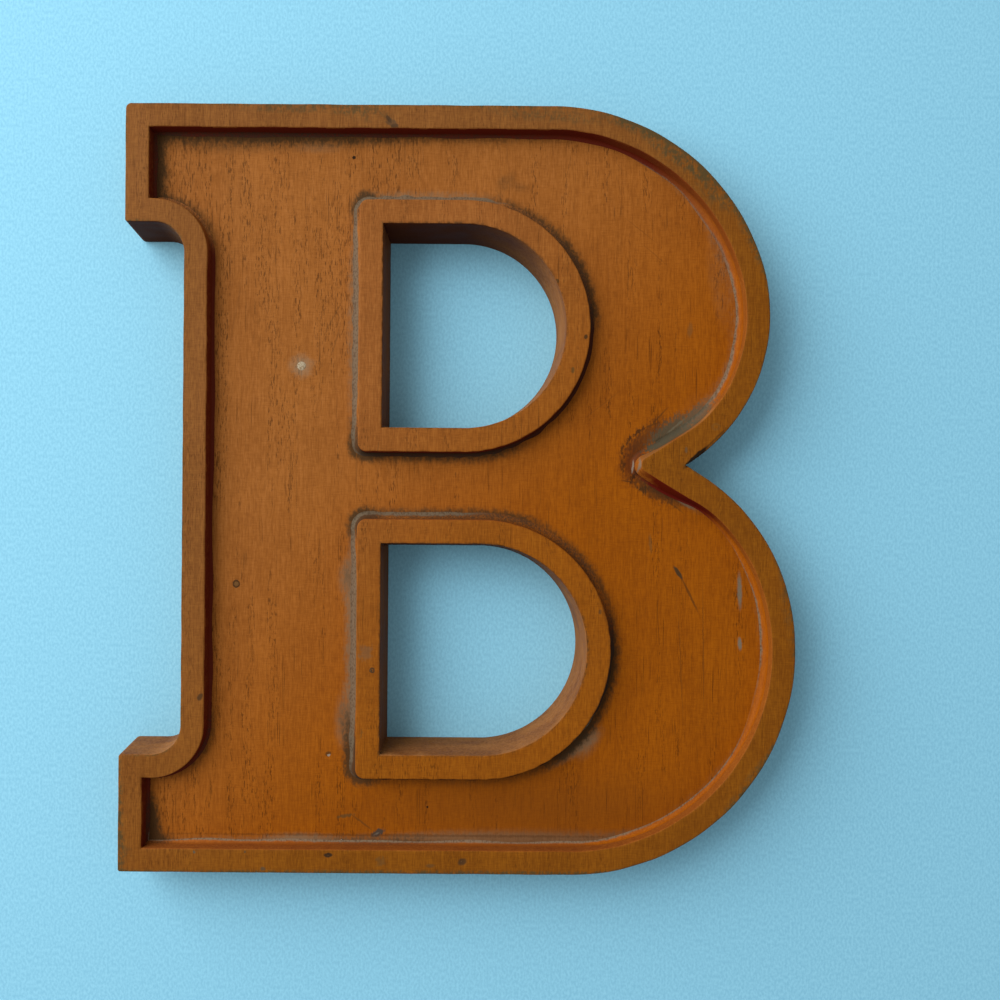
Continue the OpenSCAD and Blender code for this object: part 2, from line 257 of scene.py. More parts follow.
@dataclass(frozen=True)
class Letter:
    """Sizes of the letter in mm, and the rails that follow from them.

    Attributes:
        field_z: height of the sunk field.
        draft: how far the walls lean in over the whole thickness.
        turn, end_turn: where a bowl's two arcs meet, and where it runs into the notch.
        seam_x: where the two boards meet.
        worn_corner_r, worst_corner_r: how round the corners are, and the head's upper one.
        tip_swell, tip_reach: how much wider the border is by the notch, and how far from it.
        tip_knee: the offset at which the notch's corner is just sharp.
    """

    height: float = 305.0
    thick: float = 25.4
    field_z: float = 19.05
    draft: float = 1.5
    stem_x: float = 24.5
    head_x: float = 1.0
    head_y: float = 258.0
    foot_y: float = 46.5
    bracket_r: float = 12.0
    upper_shoulder_r: float = 87.5
    upper_shoulder_x: float = 170.5
    upper_belly_r: float = 70.0
    lower_shoulder_r: float = 89.0
    lower_shoulder_x: float = 179.25
    lower_belly_r: float = 79.0
    turn: float = math.degrees(math.atan2(0.28, 0.96))
    end_turn: float = math.degrees(math.atan2(0.8432, 0.5376))
    counter_x: float = 103.5
    upper_counter_r: float = 40.5
    upper_counter_c: Pair = (136.0, 217.5)
    lower_counter_r: float = 42.0
    lower_counter_c: Pair = (143.5, 89.0)
    outer_border_w: float = 9.3
    counter_border_w: float = 9.5
    border_corner_r: float = 3.5
    seam_x: float = 93.0
    worn_corner_r: float = 1.0
    worst_corner_r: float = 2.2
    tip_swell: float = 1.6
    tip_reach: float = 16.0
    tip_knee: float = -7.9

    @property
    def middle(self) -> Array:
        """Returns the letter's middle, which the frame has at its origin."""
        return np.array([self.lower_shoulder_x + self.lower_shoulder_r, self.height]) / 2

    @property
    def lean(self) -> float:
        """Returns how far a wall moves in for each mm of height."""
        return self.draft / self.thick

    def out(self, z: Array | float) -> Array | float:
        """Returns how far a wall stands out beyond its line on the face, at height z."""
        return self.lean * (self.thick - z)

    def bowl_centres(self) -> tuple[Array, Array, Array, Array]:
        """Returns the centres of upper shoulder, upper belly, lower shoulder, lower belly."""
        turn = way(self.turn)
        upper = np.array([self.upper_shoulder_x, self.height - self.upper_shoulder_r])
        lower = np.array([self.lower_shoulder_x, self.lower_shoulder_r])
        return (upper, upper + (self.upper_shoulder_r - self.upper_belly_r) * turn,
                lower, lower + (self.lower_shoulder_r - self.lower_belly_r) * turn)

    def notch(self) -> Array:
        """Returns where the straight ends of the two bowls cross."""
        _, upper, _, lower = self.bowl_centres()
        ways = np.array([way(-self.end_turn), way(self.end_turn)])
        radii = np.array([self.upper_belly_r, self.lower_belly_r])
        return np.linalg.solve(ways, (ways * [upper, lower]).sum(1) + radii)

    def bowl_side(self) -> list[Rail]:
        """Returns the outline's stretches from the seam at the top round to it at the foot."""
        us, ub, ls, lb = self.bowl_centres()
        e, k, v = self.end_turn, self.tip_knee, self.notch()
        top, foot = np.array([self.seam_x, self.height]), np.array([self.seam_x, 0.0])
        return [
            straight(plain_end(top, 90, 0), plain_end(us + [0, self.upper_shoulder_r], 90, 0), 0),
            curve(us, self.upper_shoulder_r, 90, self.turn),
            curve(ub, self.upper_belly_r, self.turn, -e),
            straight(plain_end(ub + self.upper_belly_r * way(-e), -e, k),
                     corner_end(v, -e, e, k, False), k, 0.8),
            corner(v, -e, e, k, 12, False),
            straight(corner_end(v, e, -e, k, False),
                     plain_end(lb + self.lower_belly_r * way(e), e, k), k, 0.8),
            curve(lb, self.lower_belly_r, e, self.turn),
            curve(ls, self.lower_shoulder_r, self.turn, -90),
            straight(plain_end(ls - [0, self.lower_shoulder_r], -90, 0),
                     plain_end(foot, -90, 0), 0)]

    def inner_wall(self) -> tuple[Rail, Array, Array]:
        """Returns the outline, the offset of its border's inner wall at the top, and how much
        further in the wall's foot stands where it slopes, by the notch.
        """
        outer = self.outline()
        gap = np.hypot(*(outer.level(0.0) - self.notch()).T)
        top = -self.outer_border_w - self.tip_swell * np.exp(-(gap / self.tip_reach) ** 2)
        return outer, top, gathered(SLOPES, outer.at(top))

    def stem_side(self) -> list[Rail]:
        """Returns the outline's stretches from the seam at the foot round to it at the top."""
        r, k, w = self.bracket_r, -self.worn_corner_r, -self.worst_corner_r
        foot, top = np.array([self.seam_x, 0.0]), np.array([self.seam_x, self.height])
        low_c = np.array([self.stem_x - r, self.foot_y + r])
        high_c = np.array([self.stem_x - r, self.head_y - r])
        a, b = np.array([0.0, 0.0]), np.array([0.0, self.foot_y])
        c, d = np.array([self.head_x, self.head_y]), np.array([self.head_x, self.height])
        return [
            straight(plain_end(foot, -90, k), corner_end(a, -90, -180, k), k),
            corner(a, -90, -180, k),
            straight(corner_end(a, -180, -90, k), corner_end(b, 180, 90, k), k),
            corner(b, 180, 90, k),
            straight(corner_end(b, 90, 180, k), plain_end(low_c - [0, r], 90, k), k),
            curve(low_c, r, -90, 0, -1, 0.6),
            straight(plain_end(low_c + [r, 0], 180, 0), plain_end(high_c + [r, 0], 180, 0), 0),
            curve(high_c, r, 0, 90, -1, 0.6),
            straight(plain_end(high_c + [0, r], -90, k), corner_end(c, -90, -180, k), k),
            corner(c, -90, -180, k),
            straight(corner_end(c, -180, -90, k), corner_end(d, 180, 90, w), k, last=w),
            corner(d, 180, 90, w),
            straight(corner_end(d, 90, 180, w), plain_end(top, 90, k), w, last=k)]

    def outline(self) -> Rail:
        """Returns the whole outline, from the seam at the top clockwise."""
        return joined(self.bowl_side() + self.stem_side())

    def counter(self, upper: bool) -> Rail:
        """Returns a counter's outline, which grows away from the hole.

        Its left corners are sharp at the hole and round from the knee outwards.

        Args:
            upper: whether it is the upper counter.
        """
        c = np.array(self.upper_counter_c if upper else self.lower_counter_c)
        r = self.upper_counter_r if upper else self.lower_counter_r
        k = self.counter_border_w - self.border_corner_r
        low, high = np.array([self.counter_x, c[1] - r]), np.array([self.counter_x, c[1] + r])
        return joined([
            straight(corner_end(high, 90, 180, k), plain_end(c + [0, r], 90, k), k),
            curve(c, r, 90, -90),
            straight(plain_end(c - [0, r], -90, k), corner_end(low, -90, -180, k), k),
            corner(low, -90, -180, k),
            straight(corner_end(low, -180, -90, k), corner_end(high, 180, 90, k), k),
            corner(high, 180, 90, k)])


LETTER = Letter()


# Meshes


@dataclass
class Shape:
    """Points, faces and what is painted on them, before they become a mesh."""

    points: Array
    faces: list[Array]
    finish: list[Array]
    paint: dict[str, Array] = field(default_factory=dict)

    def volume(self) -> float:
        """Returns the signed volume: the sum over triangles of a . (b x c) / 6."""
        total = 0.0
        for face in self.faces:
            for k in range(1, face.shape[1] - 1):
                a, b, c = (self.points[face[:, i]] for i in (0, k, k + 1))
                total += float(np.einsum("ij,ij->i", a, np.cross(b, c)).sum()) / 6
        return total


def make_piece(name: str, shape: Shape, materials: list[Material]) -> Object:
    """Puts a shape into a mesh, in the frame's metres, with its faces pointing outwards.

    Args:
        name: the piece's name.
        shape: its points in the letter's mm, its faces, and what is painted on them.
        materials: one for each number in the shape's finish.

    Returns:
        The finished object, at the origin.
    """
    points = (shape.points - [*LETTER.middle, 0.0]) * MM
    flip = shape.volume() < 0
    faces = [row for block in shape.faces for row in (block[:, ::-1] if flip else block).tolist()]
    mesh = bpy.data.meshes.new(name)
    mesh.from_pydata(points.tolist(), [], faces)
    mesh.polygons.foreach_set("material_index", np.concatenate(shape.finish).astype(np.int32))
    for label, values in shape.paint.items():
        layer = mesh.attributes.new(label, "FLOAT", "POINT")
        layer.data.foreach_set("value", np.ascontiguousarray(values, dtype=np.float32))
    work = bmesh.new()
    work.from_mesh(mesh)
    bmesh.ops.remove_doubles(work, verts=work.verts, dist=MERGE_WITHIN)
    bmesh.ops.dissolve_degenerate(work, edges=work.edges, dist=MERGE_WITHIN / 2)
    work.to_mesh(mesh)
    work.free()
    mesh.polygons.foreach_set("use_smooth", np.ones(len(mesh.polygons), dtype=bool))
    mesh.set_sharp_from_angle(angle=math.radians(CRISP_TURN))
    for material in materials:
        mesh.materials.append(material)
    mesh.update()
    piece = bpy.data.objects.new(name, mesh)
    bpy.context.scene.collection.objects.link(piece)
    log.info("%s: %d points, %d faces", name, len(mesh.vertices), len(mesh.polygons))
    return piece


def grid_faces(rows: int, columns: int, closed: bool) -> Array:
    """Returns the quads between neighbouring points of a grid, whose columns close into a
    ring, and its rows too where closed.
    """
    r, c = np.meshgrid(np.arange(rows if closed else rows - 1), np.arange(columns), indexing="ij")
    r2, c2 = (r + 1) % rows * columns, (c + 1) % columns
    return np.stack([r * columns + c, r * columns + c2, r2 + c2, r2 + c], -1).reshape(-1, 4)


@dataclass(frozen=True)
class Spot:
    """A soft oval on the letter: a dent, or a place where dirt or chalky residue gathered.

    Attributes:
        x, y: its middle in the letter's mm.
        long, wide: half its sizes in mm.
        amount: how deep or how strong it is in the middle.
        turn: direction of its long axis in degrees.
    """

    x: float
    y: float
    long: float
    wide: float
    amount: float = 1.0
    turn: float = 0.0

    def felt(self, xy: Array) -> Array:
        """Returns its strength at many points: amount * exp(-r^3), r being 1 at half its size."""
        c, s = way(self.turn)
        d = xy - [self.x, self.y]
        r = np.hypot((d @ [c, s]) / self.long, (d @ [-s, c]) / self.wide)
        return self.amount * np.exp(-r ** 3)


def gathered(spots: tuple[Spot, ...], xy: Array) -> Array:
    """Returns what all the spots add up to at many points."""
    return sum((spot.felt(xy) for spot in spots), np.zeros(xy.shape[:-1]))


@dataclass(frozen=True)
class Section:
    """The outline of a moulding's section, which may change as it runs round a rail.

    Attributes:
        corners: offset and height of each corner, shaped corners x 2 x points of the rail.
        radii: how far each corner is worn round, corners x points of the rail.
        fills: how many points stand between each corner and the next.
        bands: which finish the side after each corner has.
    """

    corners: Array
    radii: Array
    fills: tuple[int, ...]
    bands: tuple[int, ...]

    def walk(self, closed: bool = True) -> tuple[Array, Array, Array]:
        """Walks round the section, each corner a curve a(1-t)^2 + 2ct(1-t) + bt^2.

        Args:
            closed: whether the last corner joins the first.

        Returns:
            Offsets and heights, points of the section x points of the rail, and the finish
            of the strip after each.
        """
        count = len(self.corners)
        t = np.linspace(0, 1, CORNER_POINTS)[:, None, None]
        turns = []
        for k in range(count):
            c, r = self.corners[k], self.radii[k]
            ends = []
            for other in (self.corners[(k - 1) % count], self.corners[(k + 1) % count]):
                gap = other - c
                ends.append(c + gap * r / np.maximum(np.hypot(*gap), 1e-9))
            turns.append(ends[0] * (1 - t) ** 2 + 2 * c * t * (1 - t) + ends[1] * t ** 2)
        rows, bands = [], []
        for k in range(count):
            rows.append(turns[k] if closed or 0 < k < count - 1 else self.corners[k][None])
            bands += [self.bands[k - 1]] * (len(rows[-1]) // 2)
            bands += [self.bands[k]] * (len(rows[-1]) - len(rows[-1]) // 2)
            if closed or k < count - 1:
                worn = closed or k < count - 2
                after = turns[(k + 1) % count][0] if worn else self.corners[k + 1]
                s = (np.arange(1, self.fills[k] + 1) / (self.fills[k] + 1))[:, None, None]
                rows.append(rows[-1][-1] * (1 - s) + after * s)
                bands += [self.bands[k]] * self.fills[k]
        path = np.concatenate(rows)
        return path[:, 0], path[:, 1], np.array(bands)


def swept(rail: Rail, offsets: Array, heights: Array, bands: Array, closed: bool = True) -> Shape:
    """Carries a section round a closed rail: point = rail moved by the offset, at the height.

    Args:
        rail: the path.
        offsets: section points x rail points, in mm.
        heights: the same.
        bands: the finish of the strip after each section point.
        closed: whether the section is a closed loop.
    """
    points = np.concatenate([rail.at(offsets), heights[..., None]], -1)
    rows, columns = offsets.shape
    faces = grid_faces(rows, columns, closed)
    finish = np.repeat(bands if closed else bands[:-1], columns)
    return Shape(points.reshape(-1, 3), [faces], [finish])


def cap(loops: list[Array], height: float, spacing: float = 0.0) -> tuple[Array, Array, Array]:
    """Fills a flat shape with triangles, with points strewn inside it where spacing is given.

    Args:
        loops: its outline first and then the holes in it, as points in mm.
        height: the height it lies at.
        spacing: distance between the points inside, or 0 for none.

    Returns:
        The points, the triangles, and the number each point had among those of the loops.
    """
    rim = np.concatenate(loops)
    starts = np.cumsum([0] + [len(one) for one in loops])
    numbers = [np.arange(a, b) for a, b in zip(starts[:-1], starts[1:])]
    edges = np.concatenate([np.stack([some, np.roll(some, -1)], 1) for some in numbers])
    inner = np.zeros((0, 2))
    if spacing:
        low, high = rim.min(0), rim.max(0)
        x, y = np.meshgrid(*(np.arange(low[i] + spacing / 2, high[i], spacing) for i in (0, 1)))
        inner = np.stack([x + (np.arange(len(x)) % 2)[:, None] * spacing / 2, y], -1).reshape(-1, 2)
        gap = np.min([distance_to(inner, one) for one in loops], axis=0)
        inner = inner[inside(inner, loops) & (gap > spacing * RIM_CLEAR)]
    points = [Vector(place) for place in np.concatenate([rim, inner])]
    out = geometry.delaunay_2d_cdt(points, edges.tolist(), [], 0, 1e-7)
    placed, faces = np.array(out[0]), np.array(out[2])
    faces = faces[inside(placed[faces].mean(1), loops)]
    source = np.array([known[0] if known else -1 for known in out[3]])
    return np.column_stack([placed, np.full(len(placed), height)]), faces, source


def in_blocks(places: Array, work: Callable[[Array], Array]) -> Array:
    """Returns what some work gives for many points, done a few thousand at a time."""
    return np.concatenate([work(some) for some in np.array_split(places, len(places) // BLOCK + 1)])


def inside(places: Array, loops: list[Array]) -> Array:
    """Says which points lie in a shape with holes: those with an odd number of edges above."""
    edges = np.concatenate([np.concatenate([loop, np.roll(loop, -1, 0)], 1) for loop in loops])
    x1, y1, x2, y2 = edges[edges[:, 0] != edges[:, 2]].T
    low, high = np.minimum(x1, x2), np.maximum(x1, x2)

    def odd(some: Array) -> Array:
        """Counts the edges over some of the points."""
        x, y = some[:, :1], some[:, 1:]
        level = y1 + (x - x1) * (y2 - y1) / (x2 - x1)
        return ((x > low) & (x <= high) & (level > y)).sum(1) % 2 == 1

    return in_blocks(places, odd)


def distance_to(places: Array, loop: Array) -> Array:
    """Returns the distance from each point to the nearest edge of a loop."""
    step = np.roll(loop, -1, 0) - loop
    square = np.maximum((step ** 2).sum(1), 1e-12)

    def nearest(some: Array) -> Array:
        """Measures from some of the points: |gap - t * step|, t being clipped to the edge."""
        gap = some[:, None] - loop
        t = np.clip((gap * step).sum(-1) / square, 0, 1)[..., None]
        return np.hypot(*np.moveaxis(gap - t * step, -1, 0)).min(1)

    return in_blocks(places, nearest)


def stacked(parts: list[Shape]) -> Shape:
    """Puts shapes together into one, with the paint that all of them carry."""
    shifts = np.cumsum([0] + [len(p.points) for p in parts[:-1]])
    return Shape(np.concatenate([p.points for p in parts]),
                 [block + shift for p, shift in zip(parts, shifts) for block in p.faces],
                 [f for p in parts for f in p.finish],
                 {k: np.concatenate([p.paint[k] for p in parts]) for k in parts[0].paint})


# Finishes

# A finish's colour, roughness and height
Look = tuple[NodeSocket, NodeSocket, NodeSocket]
# Settings of a range that eases in and out, of a mix of colours with its output, and of sums
SMOOTH = {"interpolation_type": "SMOOTHSTEP"}
COLOURS = {"data_type": "RGBA", "out": 2}
PLUS, LESS, TIMES, TIMES_PLUS = (
    {"operation": name} for name in ("ADD", "SUBTRACT", "MULTIPLY", "MULTIPLY_ADD"))


class Drawing:
    """The nodes of one material, drawn on the letter in its own mm.

    Attributes:
        material: the material.
        place: the place on the letter, from Object coordinates.
    """

    def __init__(self, name: str) -> None:
        """Starts an empty material."""
        self.material = bpy.data.materials.new(name)
        self.material.use_nodes = True
        self.material.node_tree.nodes.clear()
        self.place = self.add("Mapping", self.add("TexCoord", out="Object"), (*LETTER.middle, 0),
                              (0, 0, 0), (1 / MM,) * 3)

    def add(self, kind: str, *inputs: object, at: dict[int | str, object] | None = None,
            out: int | str = 0, **settings: object) -> NodeSocket | None:
        """Adds a node with its settings, and sets or links its inputs.

        Args:
            kind: the node's type, after the "ShaderNode" that all begin with.
            inputs: one for each of its first inputs: a value, a hex colour or another's output.
            at: the same for further inputs, by name or number.
            out: the output that is wanted, by name or number.
            settings: the node's own properties.

        Returns:
            That output, or nothing where the node has none.
        """
        tree = self.material.node_tree
        node = tree.nodes.new("ShaderNode" + kind)
        for name, value in settings.items():
            setattr(node, name, value)
        for name, value in (dict(enumerate(inputs)) | (at or {})).items():
            if isinstance(value, NodeSocket):
                tree.links.new(value, node.inputs[name])
            else:
                node.inputs[name].default_value = linear(value) if isinstance(value, str) else value
        return node.outputs[out] if len(node.outputs) else None

    def pattern(self, size: Triple, detail: float, shift: float) -> NodeSocket:
        """Draws clouds or streaks.

        Args:
            size: the size of a cell in mm, along x, y and z.
            detail: how many finer layers lie in it.
            shift: how far it is moved, so that no two patterns are alike.
        """
        spot = self.add("Mapping", self.place, (shift, shift * 0.7, shift * 1.3), (0, 0, 0),
                        tuple(1 / s for s in size))
        return self.add("TexNoise", spot, at={"Scale": 1.0, "Detail": detail})

    def laid(self, colour: object, tone: object, where: NodeSocket, low: float, high: float,
             share: float = 1.0, how: str = "MIX") -> NodeSocket:
        """Lays a tone over a colour where a pattern is high.

        Args:
            colour: what is there.
            tone: what comes over it.
            where: the pattern.
            low: its value where nothing is laid.
            high: its value where the most is laid.
            share: how much that is.
            how: how the two are put together.
        """
        amount = self.add("MapRange", where, low, high, 0, share, **SMOOTH)
        return self.add("Mix", amount, at={6: colour, 7: tone}, blend_type=how, **COLOURS)


@dataclass(frozen=True)
class Mark:
    """A stain, spot or scratch, and in a few places painted shade and painted highlights: an oval
    of another colour.

    Attributes:
        x, y: its middle in the letter's mm.
        long, wide: half its sizes in mm.
        turn: direction of its long axis in degrees.
        colour: its sRGB colour.
        strength: how much of it covers the paint.
        soft: how far its edge fades, as a share of its size.
        broken: how much it is broken up into specks.
        hollow: whether only its rim shows.
    """

    x: float
    y: float
    long: float
    wide: float
    turn: float
    colour: str
    strength: float
    soft: float
    broken: float = 0.0
    hollow: bool = False


@dataclass(frozen=True)
class Finish:
    """What every finish here shares, and how it is put together.

    Attributes:
        name: the material's name.
        roughness, specular, ior: its gloss.
        bump_mm: how deep its relief is.
    """

    name: str
    roughness: float = 0.6
    specular: float = 0.5
    ior: float = 1.5
    bump_mm: float = 0.05

    def surface(self, draw: Drawing) -> Look:
        """Draws the finish; each kind of finish says how.

        Returns:
            Its colour, its roughness and its height.
        """
        raise NotImplementedError

    def build(self) -> Material:
        """Makes the material and joins the drawing to its shader."""
        draw = Drawing(self.name)
        colour, rough, height = self.surface(draw)
        bump = draw.add("Bump", at={"Distance": self.bump_mm * MM, "Height": height})
        draw.add("OutputMaterial", draw.add("BsdfPrincipled", at={
            "Base Color": colour, "Roughness": rough, "IOR": self.ior,
            "Specular IOR Level": self.specular, "Normal": bump}))
        return draw.material


@dataclass(frozen=True)
class PaintedWood(Finish):
    """Thin old house paint on vertically grained softwood. The brushed paint is faintly
    streaked, and paler and greyer towards the upper left, a painted sheen from the lamp; the
    open pores of the wood show through it as short dark dashes, and dirt and a chalky residue
    have gathered where the pieces' own attributes say, with painted shade laid in with the dirt.

    Attributes:
        pale, mid, deep: the faded paint where it caught the light, as a whole, and where thick.
        sheen_free_tint: what the paint's colour is multiplied by towards the lower right, away
        from the painted sheen that leaves the upper left paler and greyer.
        pore: the pores.
        pores: how dark they are.
        open_left: how much more open the grain is at the left and the top.
        grime_and_shade, chalk: the colours of dirt and of residue; in the recess and filler
        finishes the first is the dark red of painted shade.
        speckle: how much they are broken up.
        cover: how much of the paint the thickest dirt and painted shade hide.
        marks: single stains and scratches.
    """

    pale: str = "#ab6c34"
    mid: str = "#9b5e25"
    deep: str = "#824b1b"
    sheen_free_tint: str = "#f8db3f"
    pore: str = "#522e0e"
    pores: float = 0.72
    open_left: float = 0.065
    grime_and_shade: str = "#372b1a"
    chalk: str = "#80694f"
    speckle: float = 1.2
    cover: float = 0.85
    marks: tuple[Mark, ...] = ()

    def surface(self, draw: Drawing) -> Look:
        """Draws streaked paint with pores, and lays dirt, residue and marks over it."""
        cloud = draw.pattern((20, 36, 20), 4, 0)
        streak = draw.pattern((0.9, 26, 0.9), 4, 3.1)
        hatch = draw.pattern((0.5, 4.0, 0.5), 4, 6.3)
        brushed = draw.pattern((3.4, 0.45, 0.45), 4, 2.2)
        colour = draw.laid(self.mid, self.deep, cloud, 0.35, 0.65, 0.35)
        for pattern, far, share, tone in (
                (streak, 0.68, 0.25, self.pale), (streak, 0.32, 0.32, self.deep),
                (hatch, 0.68, 0.4, self.pale), (hatch, 0.32, 0.55, self.deep),
                (brushed, 0.7, 0.22, self.pale), (brushed, 0.3, 0.35, self.deep)):
            colour = draw.laid(colour, tone, pattern, 0.5, far, share)
        pores = self.open_grain(draw)
        colour = draw.add("Mix", pores, at={6: colour, 7: self.pore}, **COLOURS)
        # Painted sheen: the tint is multiplied in towards the lower right, so the upper left, under
        # the lamp, stays paler and greyer
        right = draw.add("VectorMath", draw.place, (1.2, -1.0, 0.0), out="Value",
                         operation="DOT_PRODUCT")
        colour = draw.laid(colour, self.sheen_free_tint, right, -110, 90, how="MULTIPLY")
        colour, dirt = self.dirtied(draw, colour)
        rough = draw.add("MapRange", cloud, 0.3, 0.7, self.roughness - 0.04, self.roughness + 0.06,
                         **SMOOTH)
        rough = draw.add("Math", dirt, 0.2, rough, **TIMES_PLUS)
        grain = draw.add("Math", hatch, streak, **PLUS)
        grain = draw.add("Math", pores, -1.5, grain, **TIMES_PLUS)
        return self.marked(draw, colour), rough, grain

    def open_grain(self, draw: Drawing) -> NodeSocket:
        """Draws the pores: dashes 0.4 mm wide and 2.6 mm long, in clusters, and in places
        long thin lines of grain.

        Returns:
            How dark they are at each place.
        """
        clusters = draw.pattern((5, 60, 5), 4, 5.2)
        for axis, start, end, low, high in ((0, 190, 20, -self.open_left / 2, self.open_left),
                                            (1, 200, 280, 0, self.open_left / 2)):
            across = draw.add("SeparateXYZ", draw.place, out=axis)
            more = draw.add("MapRange", across, start, end, low, high, **SMOOTH)
            clusters = draw.add("Math", clusters, more, **PLUS)
        dash, cluster, line, patch = (
            draw.add("MapRange", pattern, *ends, **SMOOTH) for pattern, *ends in (
                (draw.pattern((0.38, 2.6, 0.38), 2, 8.7), 0.55, 0.66),
                (clusters, 0.5, 0.64, 0.05, self.pores),
                (draw.pattern((0.45, 26, 0.45), 2, 4.9), 0.62, 0.72, 0, self.pores),
                (draw.pattern((14, 20, 14), 2, 1.9), 0.48, 0.6)))
        dashes = draw.add("Math", dash, cluster, **TIMES)
        lines = draw.add("Math", line, patch, **TIMES)
        return draw.add("Math", dashes, lines, operation="MAXIMUM")

    def dirtied(self, draw: Drawing, colour: NodeSocket) -> tuple[NodeSocket, NodeSocket]:
        """Lays residue and then dirt over the paint, both ragged and speckled; on the recess walls
        the dirt is mostly painted shade. What hangs on a corner reaches 3 to 5 mm from the border's
        wall, as the attribute "gap" has it.

        Returns:
            The colour, and how much dirt and painted shade there is.
        """
        ragged = draw.add("Math", draw.pattern((2.4, 3.4, 2.4), 4, 12.4),
                          draw.pattern((0.8, 1.3, 0.8), 4, 3.6), **PLUS)
        ragged = draw.add("MapRange", ragged, 0.74, 1.26, **SMOOTH)
        # A band along the walls' feet, where residue and corner dirt gather and where painted shade
        # darkens the corners
        gap = draw.add("Attribute", out="Fac", attribute_name="gap")
        near = draw.add("Math", ragged, -1.1, gap, **TIMES_PLUS)
        near = draw.add("MapRange", near, 6.0, -1.8, 0, 0.84, **SMOOTH)
        uneven = draw.add("Math", ragged, self.speckle, -self.speckle / 2, **TIMES_PLUS)
        # The second pass lays dirt, and on the recess walls that face away from the lamp, painted
        # shade
        for label, tone, most in (("chalk", self.chalk, 0.75), ("grime_and_shade", self.grime_and_shade, self.cover)):
            flat, hung = (draw.add("Attribute", out="Fac", attribute_name=name)
                          for name in (label, "corner_" + label))
            amount = draw.add("Math", hung, near, flat, **TIMES_PLUS)
            amount = draw.add("Math", amount, 1.0, operation="MINIMUM")
            square = draw.add("Math", amount, amount, **TIMES)
            some = draw.add("Math", square, draw.add("Math", 1.0, amount, **LESS), **TIMES)
            share = draw.add("Math", some, uneven, amount, **TIMES_PLUS)
            share = draw.add("MapRange", share, 0.1, 0.95, 0, most, **SMOOTH)
            colour = draw.add("Mix", share, at={6: colour, 7: tone}, **COLOURS)
        return colour, share

    def marked(self, draw: Drawing, colour: NodeSocket) -> NodeSocket:
        """Lays the marks over the paint, their edges wandering: small ones a little, broad
        ones (wider than 1.5 mm) more.
        """
        if not self.marks:
            return colour
        moved = []
        for often, far in ((0.7, 0.8), (0.45, 5.0)):
            ragged = draw.add("TexNoise", draw.place, at={"Scale": often, "Detail": 5}, out="Color")
            wobble = draw.add("VectorMath", ragged, (0.5,) * 3, **LESS)
            moved.append(draw.add("VectorMath", wobble, (far,) * 3, draw.place, **TIMES_PLUS))
        speck = draw.pattern((0.9, 1.8, 0.9), 4, 2.9)
        speck = draw.add("MapRange", speck, 0.3, 0.7, -1, 1, **SMOOTH)
        for mark in self.marks:
            turned = draw.add("Mapping", moved[mark.wide > 1.5], (mark.x, mark.y, 0),
                              (0, 0, math.radians(mark.turn)), (mark.long, mark.wide, 1e6),
                              vector_type="TEXTURE")
            reach = draw.add("VectorMath", turned, out="Value", operation="LENGTH")
            if mark.hollow:
                reach = draw.add("Math", reach, 3.0, -2.4, **TIMES_PLUS)
                reach = draw.add("Math", reach, operation="ABSOLUTE")
            if mark.broken:
                reach = draw.add("Math", speck, mark.broken, reach, **TIMES_PLUS)
            colour = draw.laid(colour, mark.colour, reach, 1 + mark.soft / 2, 1 - mark.soft / 2,
                               mark.strength)
        return colour


@dataclass(frozen=True)
class FilledCorner(PaintedWood):
    """Filler run into a corner and painted with the rest: paint like the walls', rubbed
    through along the edge towards the field to a speckled grey line of bare filler.

    Attributes:
        bare: the filler where the paint has gone.
        width: how wide the bare line is, as a share of the hollow.
        dust: the dark dust in its pores.
    """

    bare: str = "#7f6e59"
    width: float = 0.38
    dust: str = "#352a1e"

    def dirtied(self, draw: Drawing, colour: NodeSocket) -> tuple[NodeSocket, NodeSocket]:
        """Darkens the shaded sides, lays dust over them, and over that draws the bare line
        where there is residue.
        """
        across, chalk, grime_and_shade, shade = (draw.add("Attribute", out="Fac", attribute_name=label)
                                       for label in ("across", "chalk", "grime_and_shade", "shaded"))
        # Painted shade on the sides that face away from the lamp
        colour = draw.laid(colour, self.grime_and_shade, shade, 0.1, 0.6, 0.94)
        speck = draw.pattern((0.6, 1.0, 0.6), 5, 11.8)
        dirt = draw.add("Math", speck, 1.6, grime_and_shade, **TIMES_PLUS)
        dirt = draw.add("MapRange", dirt, 0.9, 1.95, 0, 0.85, **SMOOTH)
        colour = draw.add("Mix", dirt, at={6: colour, 7: self.dust}, **COLOURS)
        inner = draw.add("Math", chalk, self.width, **TIMES)
        inner = draw.add("Math", draw.pattern((2.5, 5, 2.5), 3, 5.7), 0.4, inner, **TIMES_PLUS)
        inner = draw.add("Math", inner, across, **LESS)
        inner = draw.add("MapRange", inner, 0.08, 0.34, 0, 0.88, **SMOOTH)
        line = draw.add("Math", inner, draw.add("MapRange", chalk, 0.1, 0.5, **SMOOTH), **TIMES)
        tone = draw.laid(self.bare, self.dust, speck, 0.56, 0.34, 0.6)
        return draw.add("Mix", line, at={6: colour, 7: tone}, **COLOURS), dirt


